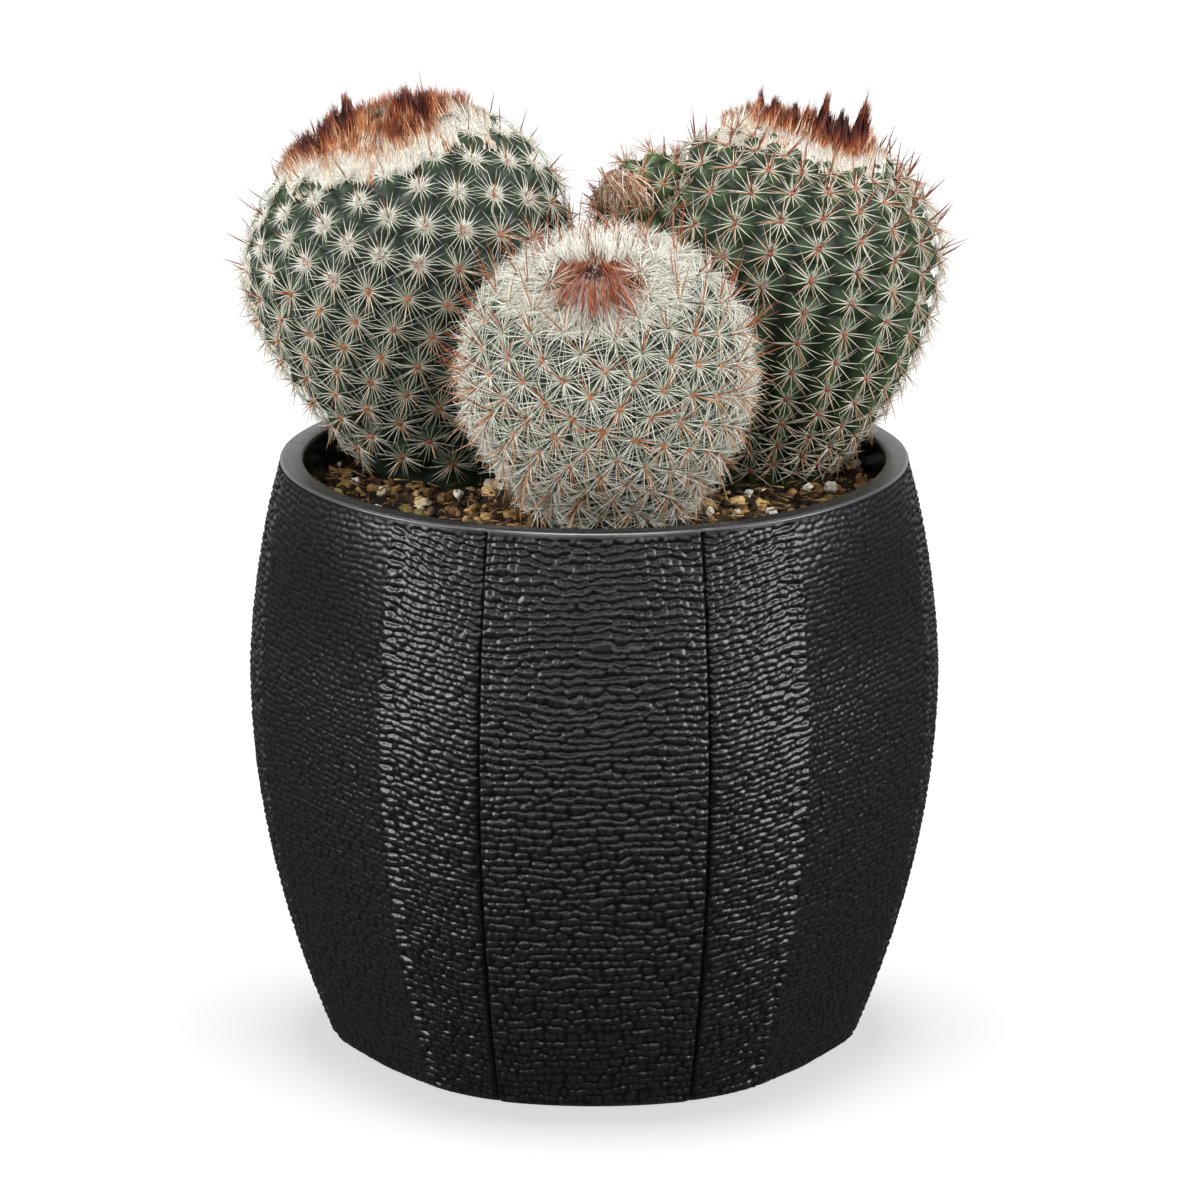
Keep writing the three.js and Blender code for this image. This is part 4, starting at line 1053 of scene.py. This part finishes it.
def make_right():
    rng = np.random.default_rng(23)
    # tones: the valleys' painted shade, the tubercles' tips, the skin under the crown hair
    make_body("right", "cactus_right",
              [(0.008, 0.020, 0.009), (0.043, 0.086, 0.032), (0.30, 0.22, 0.15)], 0.68)
    frames = areole_frames("right")
    share = frames[4]
    shown = (share < 0.975) & ~covered(frames, lambda places: in_tuft(RIGHT_PLAN, places))
    open_part = pick(frames, shown)
    spines = Spines()
    scale = np.interp(open_part[4], [0.0, 0.3, 0.8, 0.97], [0.75, 0.9, 1.0, 0.7])
    fan(spines, open_part, 16, rng, (0.12, 0.5), (5.2, 6.9), 0.30, (0.0, 0.14),
        [IVORY, IVORY, (0.56, 0.42, 0.29)], scale=scale)
    fan(spines, open_part, 2, rng, (0.4, 0.9), (4.6, 6.6), 0.30, (0.0, 0.15),
        [RUST, TAN, (0.5, 0.3, 0.16)], (-2.8, -0.3))
    high = pick(frames, (share > 0.72) & shown)
    fan(spines, high, 2, rng, (0.75, 1.25), (5.0, 8.0), 0.38, (-0.05, 0.1),
        [RUST, (0.25, 0.06, 0.035), MAROON], (0.7, 2.4))
    spines.build("right_spines", SPINE)
    areole_dots("right", open_part, 0.75, (0.30, 0.09, 0.04), rng)
    wool = Spines()
    lifted = (frames[0] + frames[2] * 0.9, *frames[1:])
    wool_hairs(wool, pick(lifted, (share > 0.62) & shown), 60, rng, 0.85, 1.1)
    wool_hairs(wool, pick(lifted, (share > 0.2) & (share <= 0.62)), 26, rng, 0.6, 0.8)
    wool.build("right_wool", WOOL, rings=2)
    dress_crown("right", RIGHT_PLAN, rng)


OFFSET_SPIKES = [(0.4, 175.5, -2.6, 178.6), (0.2, 176.8, -1.6, 180.6), (2.6, 180.6, 0.8, 184.0),
                 (1.0, 174.5, -3.4, 176.2), (5.6, 183.6, 4.0, 186.6), (8.2, 184.4, 8.0, 187.8),
                 (11.5, 186.4, 10.2, 189.8), (14.5, 187.0, 14.2, 190.6)]


def make_offset():
    rng = np.random.default_rng(51)
    # tones: the valleys' painted shade, the tubercles' tips, the skin at the apex
    make_body("offset", "cactus_right", [(0.012, 0.028, 0.010), (0.09, 0.15, 0.05), (0.12, 0.17, 0.07)], 0.5)
    frames = areole_frames("offset")
    spines = Spines()
    fan(spines, frames, 13, rng, (0.2, 0.6), (3.0, 4.2), 0.22, (0.0, 0.15), [WHITE, WHITE, CREAM])
    fan(spines, frames, 5, rng, (0.4, 1.2), (3.2, 6.0), 0.27, (0.0, 0.25), [RUST, ORANGE, TAN], ALL_ROUND)
    spines.build("offset_spines", SPINE)
    areole_dots("offset", frames, 0.6, (0.4, 0.14, 0.05), rng)
    wool = Spines()
    wool_hairs(wool, frames, 24, rng, 0.8, 0.9)
    wool.build("offset_wool", WOOL, rings=2)
    scalp = Scalp("offset", 12000)
    crown = Spines()
    # the mane that falls over the top, then the fringe below it
    count = 150
    share = rng.uniform(0, 1, count)
    roots = np.stack([1.6 + 7.4 * share, 182.2 - 1.4 * share], axis=-1) + rng.normal(0, 0.8, (count, 2))
    tips = roots + spread(rng, count, (0.2, 4.8), (-5.5, -1.6))
    tones = [(BRIGHT, CREAM, ORANGE), (CREAM, ORANGE, RUST), (BRIGHT, BRIGHT, CREAM), (CREAM, TAN, RUST),
             (TAN, RUST, MAROON)]
    comb(crown, scalp, roots, tips, rng, 0.32, tones, lift=0.55, arch=0.4, curl=0.16, sunk=-0.4)
    count = 230
    share = rng.uniform(0, 1, count)
    roots = np.stack([-0.4 + 11.0 * share, 179.4 - 0.8 * share], axis=-1) + rng.normal(0, 0.9, (count, 2))
    tips = roots + np.stack([rng.normal(0.3, 1.0, count), rng.uniform(-5.5, -2.4, count)], axis=-1)
    tones = [(BRIGHT, CREAM, RUST), (CREAM, TAN, RUST), (BRIGHT, BRIGHT, TAN), (TAN, RUST, MAROON)]
    comb(crown, scalp, roots, tips, rng, 0.28, tones, lift=0.45, arch=0.25, curl=0.14, sunk=-0.4)
    strands(crown, scalp, OFFSET_SPIKES, rng, 0.28, [TAN, RUST, RUST], copies=4, scatter=0.4, arch=0.1)
    crown.build("offset_crown", SPINE)


# ---- the front head ----

PINK = (0.86, 0.62, 0.54)
WINE = (0.24, 0.045, 0.04)
BLACK = (0.02, 0.008, 0.006)

# pairs of long central spines: the root's and the tip's x and height, as seen from the front
FRONT_PAIRS = [
    (-1.5, 145.6, -3.6, 151.2), (-1.5, 145.6, 0.8, 150.8), (6.4, 145.9, 3.6, 151.8),
    (6.4, 145.9, 8.6, 153.0), (12.2, 152.4, 9.8, 160.0), (12.2, 152.4, 13.4, 159.2),
    (16.7, 155.3, 18.5, 162.0), (13.5, 159.1, 12.7, 169.0), (9.4, 162.0, 8.6, 170.4),
    (5.1, 163.0, 1.9, 170.9), (8.6, 161.0, 6.2, 168.4), (-13.4, 155.1, -15.2, 163.2),
    (-13.4, 155.1, -18.6, 163.2), (-11.2, 157.8, -13.0, 167.2), (-11.2, 157.8, -11.0, 166.0),
    (-7.8, 159.6, -6.3, 170.2), (-7.0, 160.6, -8.4, 168.6), (-4.0, 163.4, -2.2, 171.6),
    (1.0, 165.0, -0.6, 173.4), (-16.6, 152.0, -21.6, 158.6), (-11.6, 149.0, -17.6, 150.6),
    (19.2, 149.6, 25.6, 149.2), (-9.2, 147.4, -14.6, 152.0), (-18.8, 150.6, -24.0, 153.2),
]


def fan_place(across, along):
    """Places on the fan of hair that hangs from the tip: across from -1 to 1, along from 0 to 1."""
    x = mix(3.0, 7.8, along) * across
    return np.stack([x, mix(161.2 - 1.4 * across ** 2, 148.6 + 2.2 * across ** 2, along)], axis=-1)


def in_fan(places):
    """Whether places, as seen from the front, lie where the tip's own hair hangs."""
    x, height = places[:, 0], places[:, 1]
    return ((x / 8.8) ** 2 + ((height - 156.6) / 7.6) ** 2 < 1) & (height < 163.5)


def front_fluff(scalp, rng):
    """The white and pink hair of the front head's crown."""
    fluff = Spines()
    crown_hair("front", fluff, 3000, rng, (7.0, 17.5), (4.5, 5.0), 2.2, 0.18, [[BRIGHT] * 3],
               scatter=0.25, back=0.9, droop=0.15, bare=in_fan)
    crown_hair("front", fluff, 950, rng, (1.5, 9.0), (4.4, 4.2), 1.2, 0.18,
               [(WHITE, BRIGHT, BRIGHT), (BRIGHT, BRIGHT, BRIGHT)], clump=0.5,
               bare=lambda places: places[:, 1] < 161.8)
    count = 4200
    across, start = rng.uniform(-1.75, 1.75, count), rng.uniform(-0.12, 0.95, count)

    def pink_to_white(places):
        return mix(np.array(PINK), np.array(BRIGHT), column(smoothstep(159.5, 151.5, places[..., 1])))

    comb(fluff, scalp, fan_place(across, start), fan_place(across, start + 0.3), rng, 0.17, pink_to_white,
         lift=0.25, arch=0.12)
    fluff.build("front_fluff", WOOL, rings=3)


def front_crown(scalp, rng):
    """The red hair of the front head's tip, and the long central spines round it."""
    crown = Spines()
    # the fan, the glow at its top, the dark middle, and the peak above it
    count = 76
    across, start = rng.uniform(-1.15, 1.15, count), rng.uniform(0, 0.5, count)
    end = rng.uniform(0.72, 1.14, count)
    roots, tips = fan_place(across, start), fan_place(across * rng.uniform(0.9, 1.1, count), end)
    comb(crown, scalp, roots, tips, rng, 0.27,
         [(RUST, RUST, WINE), (WINE, RUST, RUST), (RUST, WINE, WINE), (ORANGE, RUST, WINE)], 0.55, 0.25)
    count = 70
    across, start = rng.uniform(-0.9, 0.9, count), rng.uniform(0, 0.12, count)
    tips = fan_place(across, start + rng.uniform(0.2, 0.4, count))
    comb(crown, scalp, fan_place(across, start), tips, rng, 0.27,
         [(MAROON, RUST, ORANGE), (MAROON, ORANGE, ORANGE), (MAROON, RUST, RUST)], 0.3, 0.1)
    count = 170
    roots = rng.normal(0, 1, (count, 2)) * [1.5, 0.65] + [0, 160.7]
    tips = roots + rng.normal(0, 1, (count, 2)) * [0.6, 0.5] + [0, -1.0]
    comb(crown, scalp, roots, tips, rng, 0.34, [(MAROON, BLACK, MAROON)], 1.2, 0.1)
    count = 110
    roots = spread(rng, count, (-2.6, 2.6), (160.9, 162.4))
    tips = roots * [0.2, 0] + [0, 1] * rng.normal(164.9, 0.8, (count, 1))
    comb(crown, scalp, roots, tips, rng, 0.27,
         [(TAN, (0.42, 0.30, 0.22), (0.3, 0.14, 0.09)), (RUST, (0.5, 0.4, 0.32), TAN),
          (RUST, RUST, MAROON)], 0.5)
    # the short and the long hairs on both flanks
    count = 26
    for hand in ([-1, 1], [1, 1]):
        roots = spread(rng, count, (0, 1.6), (161.8, 164.2)) * hand
        tips = roots + spread(rng, count, (1.8, 6.2), (-7.5, -3.6)) * hand
        comb(crown, scalp, roots, tips, rng, 0.26, [(RUST, RUST, WINE), (TAN, RUST, RUST)], 0.3, 0.2)
        roots = spread(rng, count, (2.5, 8.5), (159.0, 166.0)) * hand
        tips = roots + spread(rng, count, (1.6, 4.4), (-9.5, -6.0)) * hand
        comb(crown, scalp, roots, tips, rng, 0.28,
             [(RUST, RUST, (0.45, 0.2, 0.14)), (WINE, RUST, RUST)], 0.5, 0.2)
    # the upright hairs over the whole width
    count = 76
    x = rng.uniform(-13, 13, count)
    roots = np.stack([x, 164.4 - 4 * (x / 13) ** 2 + rng.uniform(-2, 2, count)], axis=-1)
    tips = roots + np.stack([0.16 * x + rng.normal(0, 1.2, count), rng.uniform(5.5, 9.5, count)], axis=-1)
    comb(crown, scalp, roots, tips, rng, 0.29, [(RUST, RUST, MAROON), (RUST, RUST, RUST)])
    strands(crown, scalp, FRONT_PAIRS, rng, 0.32, [ORANGE, RUST, MAROON], copies=1, scatter=0.3)
    crown.build("front_crown", SPINE)


def make_front():
    rng = np.random.default_rng(37)
    # tones: the valleys' painted shade, the tubercles' tips, the skin under the crown hair
    make_body("front", "cactus_front",
              [(0.012, 0.026, 0.016), (0.062, 0.10, 0.055), (0.40, 0.22, 0.16)], 0.68)
    frames = areole_frames("front")
    share = frames[4]
    open_part = pick(frames, (share < 0.985) & ~covered(frames, in_fan))
    scale = np.interp(open_part[4], [0.0, 0.3, 0.8, 1.0], [0.9, 1.0, 1.0, 0.85])
    spines = Spines()
    fan(spines, open_part, 22, rng, (0.06, 0.45), (6.2, 8.2), 0.22, (0.02, 0.14),
        [COOL_WHITE, WHITE, COOL_WHITE], scale=scale)
    spines.build("front_spines", SPINE)
    bristles = Spines()
    fan(bristles, open_part, 10, rng, (0.35, 1.0), (5.0, 6.8), 0.23, (0.0, 0.25), [BRIGHT] * 3, scale=scale)
    bristles.build("front_bristles", SPINE)
    centrals = Spines()
    low = pick(frames, share < 0.75)
    fan(centrals, low, 3, rng, (0.35, 1.2), (5.5, 9.0), 0.30, (-0.05, 0.3),
        [ORANGE, (0.55, 0.24, 0.1), TAN], (-2.9, -0.2))
    high = pick(frames, (share > 0.6) & (share < 0.96))
    fan(centrals, high, 2, rng, (0.7, 1.2), (8.0, 12.5), 0.33, (-0.1, 0.12),
        [ORANGE, RUST, (0.22, 0.05, 0.035)], (0.3, 2.8))
    centrals.build("front_centrals", SPINE)
    areole_dots("front", pick(frames, share < 0.86), 0.85, (0.38, 0.14, 0.05), rng)
    wool = Spines()
    wool_hairs(wool, open_part, 16, rng, 0.9, 1.0)
    wool.build("front_wool", WOOL, rings=2)
    scalp = Scalp("front")
    front_fluff(scalp, rng)
    front_crown(scalp, rng)


# ---- the soil ----

def soil_radius(level):
    """The soil's radius inside the pot's wall."""
    return flat_radius(level, 0) - POT["wall"] - 0.3


def make_soil():
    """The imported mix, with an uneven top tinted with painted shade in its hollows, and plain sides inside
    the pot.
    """
    rings, sides = 90, 300
    angle = np.arange(sides)[None, :] * 2 * math.pi / sides

    def round_at(radius, level):
        return np.stack([radius * np.cos(angle), radius * np.sin(angle), level + 0 * radius * angle], axis=-1)

    radius = soil_radius(SOIL_LEVEL) * np.sqrt(np.linspace(0.0003, 1, rings))[:, None]
    flat = round_at(radius, SOIL_LEVEL)
    lift = 0.9 * field(flat, 7, 1) + 0.7 * field(flat, 2.6, 2) + 0.45 * field(flat, 1.1, 3)
    top = flat.copy()
    top[..., 2] += lift - 0.4
    rows = [top]
    for level in (SOIL_LEVEL - 3, 60, POT["floor"] + 0.3):
        rows.append(round_at(soil_radius(level), level))
    rows.append(rows[-1] * [0.001, 0.001, 1])
    points = np.concatenate(rows)
    # painted shade: the top's tint darkens into its hollows and lightens on its rises
    tone = mix(np.array([0.012, 0.007, 0.004]), np.array([0.10, 0.055, 0.022]),
               column(smoothstep(-0.6, 1.6, lift)))
    plain = np.tile([0.02, 0.012, 0.008], ((len(rows) - 1) * sides, 1))
    add_piece("soil_surface", points.reshape(-1, 3), [grid_faces(len(points), sides, True)[:, ::-1]], EARTH,
              ["soil"], np.concatenate([tone.reshape(-1, 3), plain]))


def stone_template():
    """A small rounded block to be crumpled and scaled."""
    bpy.ops.mesh.primitive_ico_sphere_add(subdivisions=2, radius=1)
    ball = bpy.context.object
    points = np.array([v.co[:] for v in ball.data.vertices])
    faces = np.array([p.vertices[:] for p in ball.data.polygons])
    bpy.data.objects.remove(ball)
    return points, faces


def scatter_spots(count, rng, margin=1.0):
    """Places on the soil that no stem covers."""
    spots = np.empty((0, 2))
    reach = flat_radius(SOIL_LEVEL, 0) - POT["wall"] - margin
    while len(spots) < count:
        angle = rng.uniform(0, 2 * math.pi, count)
        radius = reach * np.sqrt(rng.random(count))
        fresh = np.stack([radius * np.cos(angle), radius * np.sin(angle)], -1)
        at = np.concatenate([fresh, np.full((count, 1), SOIL_LEVEL + 0.5)], axis=1)
        free = np.ones(count, bool)
        for name in ("left", "right", "front"):
            free &= ~HEAD[name].inside(at, 0.5)
        spots = np.concatenate([spots, fresh[free]])
    return spots[:count]


def make_grains(name, count, sizes, tones, rng, material, lift=0.15, crumple=0.3):
    """Crumpled grains and stones, bedded in the soil at random."""
    ball, faces = stone_template()
    spots = scatter_spots(count, rng)
    points, tints = [], []
    for k in range(count):
        size = sizes[0] + (sizes[1] - sizes[0]) * rng.random() ** 2.2
        shape = np.array([1, rng.uniform(0.55, 0.95), rng.uniform(0.55, 0.9)])
        bumps = field(ball * 1.3 + 9 * k, 1.0, 3) + 0.45 * field(ball * 2.8 + 5 * k, 1.0, 4)
        body = ball * column(1 + crumple * bumps) * shape * size
        turn, _ = np.linalg.qr(np.eye(3) + 0.45 * rng.normal(size=(3, 3)))
        spin = rng.uniform(0, 2 * math.pi)
        cos, sin = math.cos(spin), math.sin(spin)
        body = body @ turn @ np.array([[cos, sin, 0], [-sin, cos, 0], [0, 0, 1]])
        x, y = spots[k]
        ground = SOIL_LEVEL + 0.9 * field(np.array([[x, y, SOIL_LEVEL]]), 7, 1)[0] - 0.2
        points.append(body + [x, y, ground + lift * size])
        tone = np.array(tones[rng.integers(len(tones))]) * rng.uniform(0.7, 1.25)
        tints.append(np.tile(tone, (len(ball), 1)))
    shift = (np.arange(count) * len(ball))[:, None, None]
    add_piece(name, np.concatenate(points), [(faces[None] + shift).reshape(-1, 3)], material,
              tints=np.concatenate(tints), smooth=False)


def make_fibres(rng):
    """Thin bark fibres and straws lying on the soil."""
    count = 700
    spots = scatter_spots(count, rng, 3)
    root = np.concatenate([spots, np.full((count, 1), SOIL_LEVEL + 0.4)], axis=1)
    root[:, 2] += rng.uniform(0, 1.2, count)
    turn = rng.uniform(0, 2 * math.pi, count)
    way = unit(np.stack([np.cos(turn), np.sin(turn), rng.uniform(-0.1, 0.35, count)], -1))
    curl = rng.normal(0, 0.12, (count, 3))
    length, width = rng.uniform(1.5, 5, count), rng.uniform(0.18, 0.5, count)
    tones = np.array([[(0.3, 0.16, 0.06)] * 2, [(0.45, 0.27, 0.1)] * 2, [(0.12, 0.06, 0.03)] * 2])
    fibres = Spines()
    fibres.add(root, way, curl, length, width, tones[rng.integers(3, size=count)])
    fibres.build("soil_fibres", EARTH, rings=3,
                 keep=lambda root, tip: np.hypot(tip[:, 0], tip[:, 1]) < RIM_INNER)


def make_soil_dressing():
    rng = np.random.default_rng(7)
    brown = [(0.05, 0.027, 0.012), (0.16, 0.08, 0.03), (0.32, 0.18, 0.07), (0.015, 0.009, 0.006),
             (0.22, 0.13, 0.05)]
    gold = [(0.42, 0.27, 0.09), (0.3, 0.2, 0.06), (0.55, 0.38, 0.16), (0.16, 0.13, 0.03)]
    pale = [(0.78, 0.72, 0.6), (0.85, 0.82, 0.75), (0.7, 0.6, 0.42)]
    make_grains("soil_grains", 1500, (0.4, 1.5), brown, rng, EARTH)
    make_grains("soil_gravel", 170, (0.9, 2.1), gold, rng, GRIT)
    make_grains("soil_perlite", 75, (0.9, 2.0), pale, rng, GRIT, lift=0.35, crumple=0.75)
    make_fibres(rng)


# ---- floor and lights, in metres ----

def make_floor():
    half = 4.0
    corners = [(-half, -half, 0), (half, -half, 0), (half, half, 0), (-half, half, 0)]
    mesh = bpy.data.meshes.new("floor")
    mesh.from_pydata(corners, [], [(0, 1, 2, 3)])
    material = bpy.data.materials.new("floor")
    material.use_nodes = True
    inputs = material.node_tree.nodes["Principled BSDF"].inputs
    for socket, value in (("Base Color", (0.62, 0.62, 0.62, 1)), ("Roughness", 0.9),
                          ("Specular IOR Level", 0.1), ("Emission Color", (1, 1, 1, 1)),
                          ("Emission Strength", 0.66)):
        inputs[socket].default_value = value
    mesh.materials.append(material)
    floor = bpy.data.objects.new("floor", mesh)
    floor.location.z = -0.0003
    bpy.context.scene.collection.objects.link(floor)
    floor.visible_glossy = False
    return floor


def add_light(name, place, aim, size, power, unlit=None):
    data = bpy.data.lights.new(name, "AREA")
    data.shape = "RECTANGLE"
    data.size, data.size_y = size
    data.energy = power
    light = bpy.data.objects.new(name, data)
    light.visible_camera = False
    bpy.context.scene.collection.objects.link(light)
    light.location = place
    light.rotation_euler = (Vector(aim) - Vector(place)).to_track_quat("-Z", "Y").to_euler()
    if unlit:
        group = bpy.data.collections.new(f"{name}_skips")
        group.objects.link(unlit)
        light.light_linking.receiver_collection = group
        group.collection_objects[0].light_linking.link_state = "EXCLUDE"


def make_lights(floor):
    aim = (0, 0, 0.1)
    add_light("top", (0.0, 0.25, 5.0), aim, (2.2, 2.2), 165)
    for hand in (-1, 1):
        add_light(f"side_box_{hand}", (1.25 * hand, -0.38, 0.72), aim, (0.7, 0.6), 16, floor)
        add_light(f"edge_box_{hand}", (1.3 * hand, 0.08, 0.72), aim, (0.3, 0.5), 5, floor)
        add_light(f"front_box_{hand}", (0.5 * hand, -1.5, 0.85), aim, (0.35, 0.35), 6, floor)
    add_light("backdrop", (0, 2.6, 0.55), (0, 0, 0.3), (5.0, 1.1), 12, floor)
    world = bpy.data.worlds.new("studio")
    bpy.context.scene.world = world
    world.use_nodes = True
    world.node_tree.nodes["Background"].inputs["Color"].default_value = (0.95, 0.97, 1.0, 1)
    world.node_tree.nodes["Background"].inputs["Strength"].default_value = 0.08


make_lights(make_floor())
bpy.context.scene.view_settings.view_transform = "Standard"
make_pot_shell()
make_pot_panels()
make_soil()
make_soil_dressing()
make_left()
make_right()
make_offset()
make_front()
